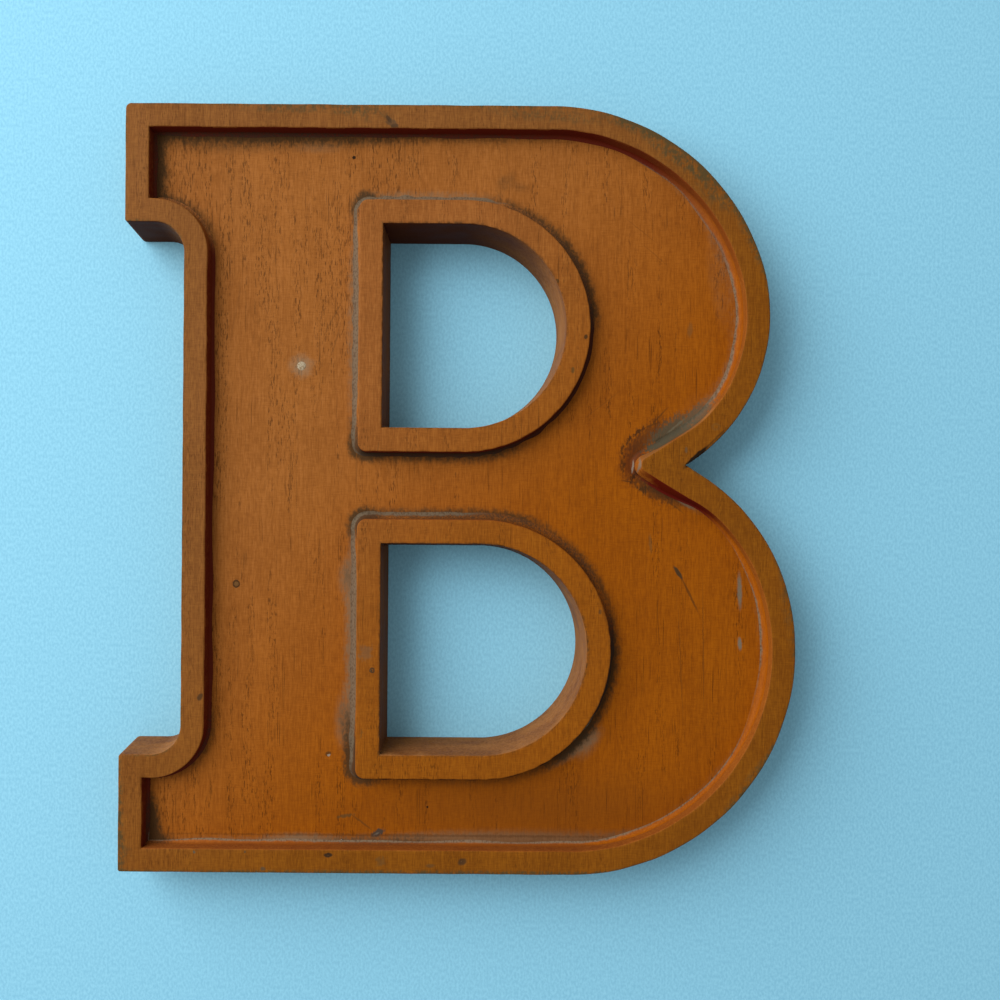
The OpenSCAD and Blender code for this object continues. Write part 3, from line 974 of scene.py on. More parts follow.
@dataclass(frozen=True)
class BareWood(Finish):
    """Side grain that lost its paint: a dark, warm brown, dull with age, streaked along the
    boards and clouded by dirt.

    Attributes:
        pale, deep: the lightest and darkest of the grain.
        shade_tone: painted shade on the sides that face down and to the right, away from the lamp.
    """

    pale: str = "#a56d3c"
    deep: str = "#69370f"
    shade_tone: str = "#3a0f02"

    def surface(self, draw: Drawing) -> Look:
        """Draws streaks among clouds, and darkens with painted shade the sides that face away
        from the lamp.
        """
        broad, streak = draw.pattern((14, 20, 8), 4, 1.7), draw.pattern((0.8, 12, 0.8), 4, 6.4)
        both = draw.add("Math", broad, 0.55, **TIMES)
        both = draw.add("Math", streak, 0.45, both, **TIMES_PLUS)
        colour = draw.laid(self.deep, self.pale, both, 0.24, 0.74)
        shaded_side = draw.add("Attribute", out="Fac", attribute_name="shaded")
        rough = draw.add("MapRange", broad, 0.3, 0.7, self.roughness - 0.08, self.roughness + 0.1,
                         **SMOOTH)
        return draw.add("Mix", shaded_side, at={6: colour, 7: self.shade_tone}, **COLOURS), rough, streak


@dataclass(frozen=True, kw_only=True)
class Grainy(Finish):
    """A finish of two tones in small grains.

    Attributes:
        main, other: the two tones.
        size: the size of a grain in mm, along x, y and z.
        detail, shift: of its pattern.
        ends: values of the pattern where the first tone and the second one show.
        wander: how far its roughness goes down and up.
    """

    main: str
    other: str
    size: Triple
    detail: float
    shift: float
    ends: Pair
    wander: Pair

    def surface(self, draw: Drawing) -> Look:
        """Draws the grains."""
        grain = draw.pattern(self.size, self.detail, self.shift)
        rough = draw.add("MapRange", grain, 0.3, 0.7, *(self.roughness + w for w in self.wander),
                         **SMOOTH)
        return draw.laid(self.main, self.other, grain, *self.ends), rough, grain


@dataclass(frozen=True)
class Paper(Grainy):
    """Plain pale blue paper under the letter: quite matt, with a fine felt."""

    main: str = "#95d7f1"
    other: str = "#86c8e4"
    size: Triple = (0.9, 1.5, 0.9)
    detail: float = 6
    shift: float = 0.0
    ends: Pair = (0.3, 0.7)
    wander: Pair = (-0.02, 0.0)


@dataclass(frozen=True)
class DarkIron(Grainy):
    """Iron wire brads under old paint: dark brown, dull, with small brown specks."""

    main: str = "#3c2a18"
    other: str = "#6e4a24"
    size: Triple = (0.5, 0.5, 0.5)
    detail: float = 3
    shift: float = 4.0
    ends: Pair = (0.4, 0.65)
    wander: Pair = (-0.1, 0.1)


@dataclass(frozen=True)
class Putty(Grainy):
    """Putty pressed into an old hole: matt, pale, with darker grains; the lower one stained.

    Attributes:
        stained: the tone of the lower one.
        stain_y: where it begins and is whole, in the letter's mm.
    """

    main: str = "#b2a48a"
    other: str = "#8a7355"
    size: Triple = (0.6, 0.6, 0.6)
    detail: float = 4
    shift: float = 9.1
    ends: Pair = (0.6, 0.35)
    wander: Pair = (-0.05, 0.05)
    stained: str = "#6e4a22"
    stain_y: Pair = (160, 150)

    def surface(self, draw: Drawing) -> Look:
        """Draws the grains, and stains the lower filling."""
        colour, rough, grain = super().surface(draw)
        y = draw.add("SeparateXYZ", draw.place, out="Y")
        return draw.laid(colour, self.stained, y, *self.stain_y), rough, grain


# Where dirt and residue gathered, in the letter's mm: in the corners by the borders, where
# the dirt is partly painted shade, out on the field and on the borders; then where the filler
# is thicker or thinner and where the border's inner wall slopes; then single marks, each list
# for its own piece, a few of them painted shade and painted highlights.

CORNER_GRIME_AND_SHADE = (
    Spot(16, 282, 8, 20, 0.7), Spot(60, 293.3, 46, 7, 0.85), Spot(135, 293.3, 42, 6, 0.6),
    Spot(93.6, 268, 9, 9, 0.8), Spot(163, 263, 22, 7, 0.8, -30), Spot(183, 241, 17, 8, 1.0, -60),
    Spot(93.2, 140.5, 9, 9, 1.0), Spot(94.4, 39.4, 9, 11, 0.95), Spot(140, 142.5, 50, 6, 0.85),
    Spot(195.5, 80.5, 8, 24, 0.95), Spot(184, 52, 8, 16, 0.8, -40), Spot(216, 178, 14, 4, 0.4, 35),
    Spot(14.2, 18, 7, 14, 1.0), Spot(25.6, 256.8, 14, 14, 0.6), Spot(29.8, 52, 12, 15, 0.6),
    Spot(94.4, 171.4, 9, 10, 0.95), Spot(130, 167.3, 40, 6, 0.8), Spot(187, 222, 6, 14, 0.6, 85),
    Spot(216, 154.5, 12, 5, 1.3, -33), Spot(180, 124, 22, 8, 0.85, -42), Spot(150, 36, 50, 6, 0.3),
    Spot(91, 46, 9, 15, 0.9), Spot(178, 47, 16, 5, 0.7, 38), Spot(104, 11, 26, 6, 0.7),
)
CORNER_CHALK = (
    Spot(92, 217.7, 6, 48, 1.0), Spot(120, 271.6, 34, 6, 1.0), Spot(91.4, 91, 6, 46, 1.3),
    Spot(246, 224.9, 10, 38, 0.65), Spot(222, 264, 30, 12, 0.6, -42), Spot(258, 80, 8, 28, 0.3),
    Spot(121.8, 10.6, 120, 6, 1.0), Spot(232, 33, 38, 14, 0.5, 40), Spot(76.3, 293, 12, 5, 0.2),
    Spot(248, 112, 30, 8, 0.5, -65), Spot(236, 191, 22, 9, 0.8, 45), Spot(228, 146, 6, 4, 0.5, -30),
    Spot(118, 142.5, 30, 5, 0.5), Spot(188, 54, 7, 10, 0.6, -35),
)
FIELD_GRIME = (
    Spot(30, 278, 16, 18, 0.22), Spot(48, 262, 10, 26, 0.2), Spot(60, 230, 4, 30, 0.16),
    Spot(151, 276, 3, 4, 0.5), Spot(158, 274.5, 4, 2.5, 0.45), Spot(155, 279, 2, 3, 0.4),
    Spot(180, 12.6, 50, 5, 0.3), Spot(197.8, 251, 3, 9, 0.25), Spot(12.6, 14, 4, 12, 0.6),
    Spot(13, 277, 4, 18, 0.5), Spot(60, 291, 50, 4, 0.4), Spot(88, 60, 3, 9, 0.35),
    Spot(89, 117, 2.5, 7, 0.3), Spot(95, 271, 4, 3, 0.4),
)
FIELD_CHALK = (
    Spot(162, 13.8, 52, 3.4, 0.4), Spot(152, 12.8, 40, 1.7, 0.5), Spot(71.4, 11.5, 14, 2.6, 0.5),
    Spot(181, 47.5, 13, 2.2, 0.6, 36), Spot(88.3, 116.5, 3.2, 8, 0.5), Spot(76.3, 290, 12, 3, 0.4),
    Spot(87.6, 58.9, 3.2, 12, 0.55), Spot(238, 236, 5, 24, 0.3, 10), Spot(228, 188, 12, 5, 0.2, 45),
    Spot(187.5, 50, 4, 9, 0.4, -35),
)
BORDER_GRIME = (
    Spot(202, 299, 8, 4, 0.5, -20), Spot(218, 289, 18, 6, 0.65, -35), Spot(70, 303, 30, 2, 0.45),
    Spot(234, 272, 12, 5, 0.45, -50), Spot(251, 255, 30, 5, 0.6, -66), Spot(190, 89, 7, 34, 0.2),
    Spot(264.5, 107, 24, 3, 0.3, -82), Spot(138, 262, 30, 6, 0.15), Spot(97.9, 300.8, 14, 4, 0.35),
    Spot(3.7, 7, 4, 8, 0.3), Spot(1.3, 22.6, 1.6, 24, 0.4), Spot(150, 0.8, 120, 1.0, 0.4),
    Spot(170, 301, 34, 3.5, 0.4, -4), Spot(252, 40, 22, 2.5, 0.4, 52), Spot(5, 250, 5, 9, 0.3),
)
FILLER_SIZE = (
    Spot(243, 225, 12, 44, 0.3), Spot(222, 268, 32, 10, 0.15, -42), Spot(224, 178, 20, 8, 0.35, 38),
    Spot(256, 80, 10, 40, 0.28), Spot(218, 152, 20, 8, -0.3, -33),
)
SLOPES = (Spot(211, 158, 17, 9, 1.9, -36),)

NOTCH_MARKS = (
    Mark(204.8, 165.0, 8.4, 4.8, 80, "#4e220c", 0.8, 1.2, 0.15),
    Mark(210.6, 174.3, 9.8, 4.2, 40, "#502c12", 0.7, 1.0, 0.4),
    Mark(213.4, 152.2, 9.6, 2.6, -27, "#4a2a12", 0.7, 1.0, 0.4),
    Mark(199.9, 169.0, 2.2, 0.6, 80, "#33200e", 0.6, 0.9, 0.6),
    Mark(200.3, 163.6, 3.0, 0.7, 86, "#33200e", 0.6, 0.9, 0.6),
    Mark(202.2, 172.4, 2.4, 0.6, 60, "#33200e", 0.6, 0.9, 0.6),
    Mark(206.4, 176.4, 2.8, 0.6, 40, "#3b2410", 0.75, 0.8, 0.5),
    Mark(204.6, 158.6, 2.4, 0.8, 60, "#2a190b", 0.75, 0.7, 0.4),
    Mark(202.8, 156.4, 3.0, 0.3, -6, "#4a2a10", 0.7, 0.8),
    Mark(208.6, 153.4, 1.8, 1.3, 0, "#3a2814", 0.7, 0.8, 0.5),
    Mark(218.6, 177.0, 9.6, 3.2, 38, "#504836", 0.9, 1.0, 0.3),
    Mark(216.6, 173.6, 9.0, 1.3, 33, "#3d3424", 0.8, 0.9, 0.3),
    Mark(228.0, 183.6, 7.0, 1.6, 44, "#5a5240", 0.75, 0.9, 0.25),
    Mark(221.4, 178.8, 4.6, 0.4, 40, "#6b6450", 0.6, 0.8, 0.3),
    Mark(214.6, 182.4, 5.0, 0.3, 48, "#52300f", 0.6, 0.9),
    Mark(212.2, 179.4, 3.4, 0.3, 20, "#52300f", 0.6, 0.9),
    Mark(204.2, 162.4, 2.6, 0.35, 84, "#857a6c", 0.75, 0.6),
    Mark(226.0, 147.3, 3.8, 0.7, -28, "#6f6452", 0.6, 0.8),
    Mark(221.0, 146.6, 4.6, 0.3, -36, "#52300f", 0.5, 0.9),
)
WALL_MARKS = (
    # Painted shade on the upper right arc's wall: brown between the dark red and the lit orange
    Mark(206, 288, 20, 6, -34, "#6b3210", 0.55, 1.0),
    Mark(232, 262, 22, 6, -54, "#7d3d12", 0.6, 1.0),
    # Painted shade: dark red on the lower arm's wall by the notch
    Mark(222.6, 151.4, 16, 4.0, -34.5, "#5a0c03", 0.95, 0.6),
    Mark(206.2, 163.0, 2.8, 0.4, 82, "#7d7160", 0.75, 0.8),
    # Painted highlights: light tan along the upper arm's wall by the notch, which faces the lamp
    Mark(213.6, 168.8, 8.2, 1.3, 27, "#86592f", 0.7, 0.6),
    Mark(226.0, 176.4, 7.4, 1.2, 38, "#8e5f33", 0.65, 0.8),
    Mark(234.6, 186.4, 7.0, 1.1, 58, "#a87440", 0.6, 1.0),
)
FILLER_MARKS = (
    # Painted shade on the fillet under the upper right arc: brown between the dark red and the lit
    # orange
    Mark(230, 261, 22, 5, -54, "#7d3d12", 0.4, 1.0),
    Mark(135, 9.5, 130, 0.9, 0, "#6e3814", 0.6, 0.8),
    Mark(219.4, 173.6, 12, 3.2, 36, "#4b4433", 0.9, 0.8, 0.3),
    Mark(230.6, 182.6, 9, 2.4, 48, "#544b39", 0.8, 1.0, 0.3),
    # Painted shade: dark red on the fillet by the notch's lower arm
    Mark(221.6, 151.0, 16, 4.4, -34.5, "#5a0c03", 0.95, 0.6),
)
FACE_MARKS = (
    *NOTCH_MARKS,
    Mark(166, 24, 62, 13, 0, "#6f3a08", 0.55, 1.7),
    Mark(70.4, 202.0, 4, 4, 0, "#8d7a60", 0.5, 1.3),
    Mark(44.9, 114.0, 1.4, 1.4, 0, "#3e2a16", 0.85, 0.5, 0, True),
    Mark(102.8, 14.2, 2.7, 1.2, 29, "#3f3a33", 0.9, 0.6, 0.25),
    # A painted highlight along the middle of the dent
    Mark(102.2, 13.7, 1.3, 0.3, 29, "#6f675c", 0.7, 0.8, 0.3),
    Mark(89.5, 20.9, 3.2, 0.6, 9, "#5b401f", 0.8, 0.9, 0.4),
    Mark(96.3, 18.3, 5, 0.35, -36, "#5c3813", 0.6, 0.8),
    Mark(120.0, 13.2, 90, 0.5, 0, "#4a2a10", 0.4, 0.9, 0.3),
    Mark(222.9, 119.8, 3.1, 0.75, -56, "#3a3020", 0.9, 0.6),
    Mark(227.6, 111.0, 7.1, 0.45, -64, "#54300f", 0.7, 0.8),
    Mark(224.1, 84.7, 24, 0.25, -87, "#69390c", 0.5, 1),
    Mark(233.2, 91.9, 23, 0.25, -89, "#69390c", 0.6, 1),
    Mark(211.7, 131.4, 3.6, 0.6, -86, "#6e4a22", 0.6, 0.8),
    Mark(247.7, 112.7, 6.4, 0.9, -88, "#6f6b5c", 0.8, 0.9),
    Mark(247.9, 91.4, 2.4, 0.8, -85, "#6f7064", 0.8, 0.8),
    Mark(91.1, 286.1, 0.65, 0.65, 0, "#1c1208", 0.95, 0.5),
    Mark(122.5, 24.7, 0.5, 0.5, 0, "#20140a", 0.95, 0.5),
    Mark(82.5, 45.8, 1.3, 0.9, 30, "#3f2a14", 0.7, 0.6),
    Mark(82.8, 45.3, 0.7, 0.5, 0, "#94887a", 0.85, 0.5),
    Mark(88.4, 10.6, 0.9, 0.8, 0, "#3a3229", 0.85, 0.5),
    Mark(88.0, 11.0, 0.4, 0.3, 0, "#cfc8bc", 0.9, 0.5),
    Mark(93.0, 163.0, 14, 0.3, 90, "#7b4a1c", 0.5, 0.9),
    Mark(44.0, 224.3, 12, 0.4, 80, "#7a4a20", 0.3, 1),
    Mark(83.1, 221.4, 7.2, 0.28, 62, "#6d431c", 0.5, 0.9),
    Mark(84.4, 212.6, 5.6, 0.28, 75, "#6d431c", 0.5, 0.9),
    Mark(191.7, 187.2, 8.8, 0.2, 38, "#6d3d12", 0.4, 1),
    Mark(212.6, 247.8, 6.4, 0.2, -40, "#6d3d12", 0.4, 1),
    Mark(206.5, 257.8, 8, 0.2, -38, "#6d3d12", 0.4, 1),
    Mark(226.9, 217.7, 2.8, 1, 85, "#6b4c28", 0.45, 0.9),
)
BORDER_MARKS = (
    Mark(106.6, 297.7, 2.4, 1.4, -35, "#5a4028", 0.85, 0.7, 0.2),
    Mark(105.3, 299.4, 1.5, 0.8, -60, "#4a3420", 0.85, 0.6),
    Mark(107.6, 296.6, 1.5, 0.9, 10, "#4a3420", 0.8, 0.6),
    # Painted shade: a black line along the outer corner of the notch, and a thinner one beyond it
    Mark(228.2, 166.2, 6.2, 1.0, 43, "#120d08", 0.95, 0.5),
    Mark(236.0, 173.6, 6.0, 0.4, 45, "#2a1a0c", 0.5, 0.9),
    Mark(83.5, 7.2, 1.7, 0.85, 0, "#2b2118", 0.9, 0.5),
    Mark(136.7, 5.0, 1.7, 1.3, 20, "#3a2d1f", 0.75, 0.7),
    Mark(172.6, 235.6, 0.8, 0.8, 0, "#4a3720", 0.75, 0.6),
    Mark(184.2, 213.5, 0.9, 0.7, 0, "#4a3720", 0.7, 0.6),
    Mark(179.2, 200.3, 0.9, 1.1, 0, "#4a3720", 0.7, 0.6),
    Mark(57.8, 1.6, 1, 0.8, 0, "#4f4636", 0.75, 0.6),
    Mark(104.6, 4.7, 1.9, 1.7, 0, "#5c4526", 0.5, 0.8, 0.4),
    Mark(32.3, 69.6, 1.5, 1, 60, "#3a2c1c", 0.75, 0.6),
    Mark(38.0, 104.1, 0.8, 0.8, 0, "#4a3720", 0.7, 0.6),
    Mark(224.2, 169.0, 0.6, 1.2, 0, "#5b4a35", 0.7, 0.7),
    Mark(236.0, 178.2, 1.6, 1.4, 0, "#6a4a24", 0.35, 0.9, 0, True),
    Mark(244.9, 208.0, 1.2, 1.4, 0, "#64502f", 0.6, 0.8, 0, True),
    Mark(30.4, 8.1, 0.56, 0.56, 0, "#5a5545", 0.8, 0.6),
    Mark(50.6, 8.3, 0.4, 0.4, 0, "#53432c", 0.8, 0.6),
    Mark(124.0, 3.3, 1.6, 0.6, 0, "#4f3f28", 0.5, 0.8),
    Mark(12.1, 14.7, 2, 0.4, 8, "#4a3a26", 0.5, 0.8),
    Mark(149.5, 298.4, 4.8, 0.24, 88, "#5c3c1c", 0.4, 1),
    Mark(99.0, 258.4, 3.6, 0.24, 88, "#5c3c1c", 0.5, 1),
)
COUNTER_BORDER_MARKS = (
    Mark(100.4, 80.6, 0.95, 0.95, 0, "#3e2f20", 0.8, 0.5, 0, True),
    Mark(97.8, 87.5, 2.4, 2.8, 0, "#705a40", 0.4, 0.9, 0.3),
    Mark(172.6, 235.6, 0.8, 0.8, 0, "#453118", 0.8, 0.6),
    Mark(184.2, 213.5, 0.8, 0.88, 0, "#3c2a16", 0.85, 0.6),
    Mark(179.2, 200.3, 0.64, 1.2, 0, "#53401f", 0.7, 0.6),
    Mark(102.1, 169.2, 2, 0.24, 88, "#5c3c1c", 0.5, 1),
    Mark(190.6, 104.5, 0.64, 0.96, 0, "#4a3720", 0.6, 0.7),
    Mark(96.6, 55.0, 0.56, 1.6, 0, "#5c431f", 0.5, 0.8),
)


# Sub-assemblies


@dataclass
class Boards:
    """The two boards glued edge to edge, with their sunk face, counters and filled holes.

    Attributes:
        finishes: of face, walls and back.
        edge_r: how far the edge round the back is worn.
        wall_points: how many points a wall has between back and field.
        point_gap: distance between the points strewn over the face.
        filler: how far the middle of the broad filler lies from the counters' borders.
        pit_points: how many points the rim of a filled hole has.
        filling_depth: how deep these holes are.
        filling_places: their middles and widths.
    """

    letter: Letter
    finishes: tuple[Material, Material, Material]
    edge_r: float = 0.4
    wall_points: int = 7
    point_gap: float = 2.0
    filler: float = 1.4
    pit_points: int = 32
    filling_depth: float = 8.0
    filling_places: tuple[Triple, ...] = ((70.5, 202, 3.6), (45.0, 114, 2.0))

    def wall(self, rail: Rail, hole: bool) -> Shape:
        """Builds a leaning wall from the worn edge at the back up to the field.

        Args:
            rail: the outline to follow.
            hole: whether the wall leans the other way, as a counter's does.
        """
        a, n, sign = self.letter, len(rail), -1 if hole else 1
        offsets = sign * np.array([a.out(0) - 3 * self.edge_r, a.out(0), a.out(a.field_z)])
        corners = np.stack([offsets, [0.0, 0.0, a.field_z]], 1)[..., None].repeat(n, 2)
        section = Section(corners, np.full((3, n), self.edge_r), (0, self.wall_points, 0),
                          (1, 1, 1))
        g, z, bands = section.walk(closed=False)
        shape = swept(rail, g[1:], z[1:], bands[1:], closed=False)
        # Painted shade for the side grain where the wall faces away from the lamp
        shape.paint["shaded"] = np.tile(shaded(sign * rail.fan), len(g) - 1)
        return shape

    def board(self, name: str, rail: Rail, holes: list[Rail], fillings: bool) -> Object:
        """Builds one board: walls, back and face, and blind holes where there are fillings.

        Args:
            name: the piece's name.
            rail: its closed outline.
            holes: the counters through it.
            fillings: whether the filled holes are in it.
        """
        rails = [rail, *holes]
        walls = [self.wall(one, one is not rail) for one in rails]
        pits = [self.pit(*spot) for spot in self.filling_places] if fillings else []
        rims = [p.points.reshape(-1, len(r), 3)[..., :2] for p, r in zip(walls, rails)]
        tops = [r[-1] for r in rims] + [p.points[:self.pit_points, :2] for p in pits]
        shade = np.concatenate([p.paint["shaded"][-len(r):] for p, r in zip(walls, rails)])
        flats = []
        for loops, z, gap, order, finish in ((tops, self.letter.field_z, self.point_gap, 1, 0),
                                             ([r[0] for r in rims], 0.0, 0.0, -1, 2)):
            points, triangles, source = cap(loops, z, gap)
            flats.append(Shape(points, [triangles[:, ::order]], [np.full(len(triangles), finish)],
                               {"shaded": np.append(shade, np.zeros(len(source) + 1))[source]}))
        walls[0].faces = [block[:, ::-1] for block in walls[0].faces]
        whole = stacked(walls + flats + pits)
        xy = whole.points[:, :2]
        whole.paint["gap"] = self.from_walls(xy)
        # The corner dirt lies at 0.3 all along the walls' feet, more at the spots: dirt and painted
        # shade together
        for label, spots, all_over in (
                ("corner_grime_and_shade", CORNER_GRIME_AND_SHADE, 0.3), ("corner_chalk", CORNER_CHALK, 0),
                ("grime_and_shade", FIELD_GRIME, 0), ("chalk", FIELD_CHALK, 0)):
            whole.paint[label] = all_over + gathered(spots, xy)
        return make_piece(name, whole, list(self.finishes))

    def pit(self, x: float, y: float, across: float) -> Shape:
        """Builds a blind hole: a ring down to its floor, and the floor as a fan."""
        n, top = self.pit_points, self.letter.field_z
        ring = np.array([x, y]) + across / 2 * way(360 * np.arange(n) / n)
        rings = [np.column_stack([ring, np.full(n, z)]) for z in (top, top - self.filling_depth)]
        points = np.concatenate([*rings, [[x, y, top - self.filling_depth]]])
        i = np.arange(n)
        floor = np.stack([i + n, (i + 1) % n + n, np.full(n, 2 * n)], 1)
        return Shape(points, [grid_faces(2, n, False), floor], [np.ones(n), np.ones(n)],
                     {"shaded": np.zeros(len(points))})

    def from_walls(self, xy: Array) -> Array:
        """Returns how far each place on the face is from the nearest border's wall, in mm;
        by the counters the middle of the broad filler counts as the wall.
        """
        a = self.letter
        outer, top, slope = a.inner_wall()
        reach = a.counter_border_w + a.out(a.field_z) + self.filler
        loops = [outer.at(top - a.out(a.field_z) - slope),
                 a.counter(True).level(reach), a.counter(False).level(reach)]
        gap = np.min([distance_to(xy, loop) for loop in loops], axis=0)
        return np.where(inside(xy, loops), gap, 0.0)

    def build(self) -> None:
        """Builds both boards, parted at the glue line."""
        a, k = self.letter, -self.letter.worn_corner_r
        top, foot = np.array([a.seam_x, a.height]), np.array([a.seam_x, 0.0])
        stem = [*a.stem_side(), straight(plain_end(top, 90, k), plain_end(foot, -90, k), k, 4)]
        bowls = [*a.bowl_side(), straight(plain_end(foot, -90, 0), plain_end(top, 90, 0), 0, 4)]
        for name, parts, holes in (("stem_board", stem, []),
                                   ("bowl_board", bowls, [a.counter(True), a.counter(False)])):
            piece = self.board(name + "_planed", joined(parts), holes, name == "stem_board")
            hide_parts(name)
            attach(piece, "root")


@dataclass
class Borders:
    """The raised borders planted on the boards: one round the outside, one round each counter.

    Attributes:
        outer_top, counter_top: finishes of their tops.
        side: finish of the walls that go on from the boards'.
        recess: finish of the walls over the field.
        worn_r: how far the top edges are worn, on average.
        wear, wear_ends: how much that varies, and the least and the most of it.
        wear_waves: the least and greatest number of swells of wear round a border.
        upright: the height over the field up to which the waves of the top don't reach.
        top_depth: how far down the dirt is like that on top.
        open_rim, field_rim: dirt along the two top edges, how strong and how wide in mm.
        wall_shade_and_dirt: on the walls over the field: a little dirt everywhere, painted
        shade where they face down and to the right, away from the lamp, and dirt where they face
        up.
        wall_dust: residue where they face up.
        dents: knocks in the tops.
    """

    letter: Letter
    outer_top: Material
    counter_top: Material
    side: Material
    recess: Material
    worn_r: float = 0.5
    wear: float = 0.3
    wear_ends: Pair = (0.4, 2.4)
    wear_waves: tuple[int, int] = (20, 70)
    upright: float = 2.0
    top_depth: float = 0.35
    open_rim: Pair = (0.45, 0.9)
    field_rim: Pair = (0.25, 0.6)
    wall_shade_and_dirt: Triple = (0.1, 1.2, 0.3)
    wall_dust: float = 0.2
    dents: tuple[Spot, ...] = (Spot(106.3, 298.1, 2.4, 1.7, 0.3, -50),
                               Spot(83.5, 7.2, 2.2, 1.4, 0.25), Spot(136.7, 5.0, 2.0, 1.8, 0.2))

    def top_drop(self, xy: Array) -> Array:
        """Returns how far a border's top lies below full height: up to 0.12 mm of slow waves
        from the plane, products and sums of sines 60 to 200 mm long, and the dents.
        """
        x, y = xy[..., 0], xy[..., 1]
        wave = np.sin(x / 23 + 1.3) * np.sin(y / 31 + 0.4) + 0.5 * np.sin(x / 9 + y / 13)
        return 0.04 * (1.5 + wave) + gathered(self.dents, xy)

    def weathered(self, rail: Rail, g: Array, on_top: Array, near: Array,
                  far: Array) -> dict[str, Array]:
        """Returns a border's paint. Its wall over the field is darkest, with painted shade, where
        it faces down and to the right, away from the lamp, and dusty where it faces up.

        Args:
            rail: the outline it follows.
            g: the offset of each of its points.
            on_top: whether each is on top.
            near: offset of its open wall on the face.
            far: offset of its wall over the field.
        """
        sign = np.sign(near - far)
        rim = sum(strength * np.exp(-(abs(g - edge) / width) ** 2)
                  for edge, (strength, width) in ((near, self.open_rim), (far, self.field_rim)))
        over_field = abs(g - far) < abs(g - near)
        facing_up = np.clip(-sign * rail.fan[:, 1], 0, 1) ** 2 * over_field
        bare, shaded_side, up = self.wall_shade_and_dirt
        # Painted shade on the wall over the field where it faces away from the lamp, with a little
        # dirt everywhere and more where it faces up; through "shaded", painted shade on the open
        # wall's side grain too
        walled = bare + shaded_side * shaded(-sign[:, None] * rail.fan) * over_field + up * facing_up
        grime_and_shade = np.where(on_top, rim + gathered(BORDER_GRIME, rail.at(g)), walled)
        return {"shaded": np.tile(shaded(sign[:, None] * rail.fan), len(g)), "grime_and_shade": grime_and_shade.ravel(),
                "chalk": np.where(on_top, 0, self.wall_dust * facing_up).ravel()}

    def ring(self, name: str, rail: Rail, near: Array, far: Array, slope: Array,
             seed: int, top: Material) -> None:
        """Builds one border: its section has worn top edges and stands on the field.

        Args:
            name: the node it stands for.
            rail: the outline it follows.
            near: offset of its open wall on the face, at each point of the rail.
            far: offset of its wall over the field.
            slope: how much further that wall's foot stands out than an upright wall's.
            seed: picks the wear.
            top: the finish of its top.
        """
        a, n, s = self.letter, len(rail), rail.along()
        foot = np.sign(near - far) * a.out(a.field_z)
        tall, low = np.full(n, a.thick), np.full(n, a.field_z)
        inner = far - foot - slope
        corners = np.array([[near + foot, low], [near, tall], [far, tall], [inner, low]])
        wander = [waves(s, self.wear_waves, seed + i) for i in (0, 1)]
        open_r, field_r = (self.worn_r * (1 + self.wear * w).clip(*self.wear_ends) for w in wander)
        radii = np.array([np.zeros(n), open_r, field_r * 1.1, np.zeros(n)])
        g, z, bands = Section(corners, radii, (3, 8, 3, 0), (1, 0, 2, 2)).walk()
        share = np.clip((z - low - self.upright) / (tall - low - self.upright), 0, 1)
        shape = swept(rail, g, z - share * self.top_drop(rail.at(g)), bands)
        shape.paint = self.weathered(rail, g, z > a.thick - self.top_depth, near, far)
        piece = make_piece(name + "_worn", shape, [top, self.side, self.recess])
        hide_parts(name)
        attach(piece, "root")

    def build(self) -> None:
        """Builds the three borders."""
        a = self.letter
        outer, top, slope = a.inner_wall()
        self.ring("outer_border", outer, np.zeros(len(outer)), top, slope, 10, self.outer_top)
        for upper, name, seed in ((True, "upper_counter_border", 20),
                                  (False, "lower_counter_border", 30)):
            rail = a.counter(upper)
            plain = np.zeros(len(rail))
            self.ring(name, rail, plain, plain + a.counter_border_w, plain, seed, self.counter_top)


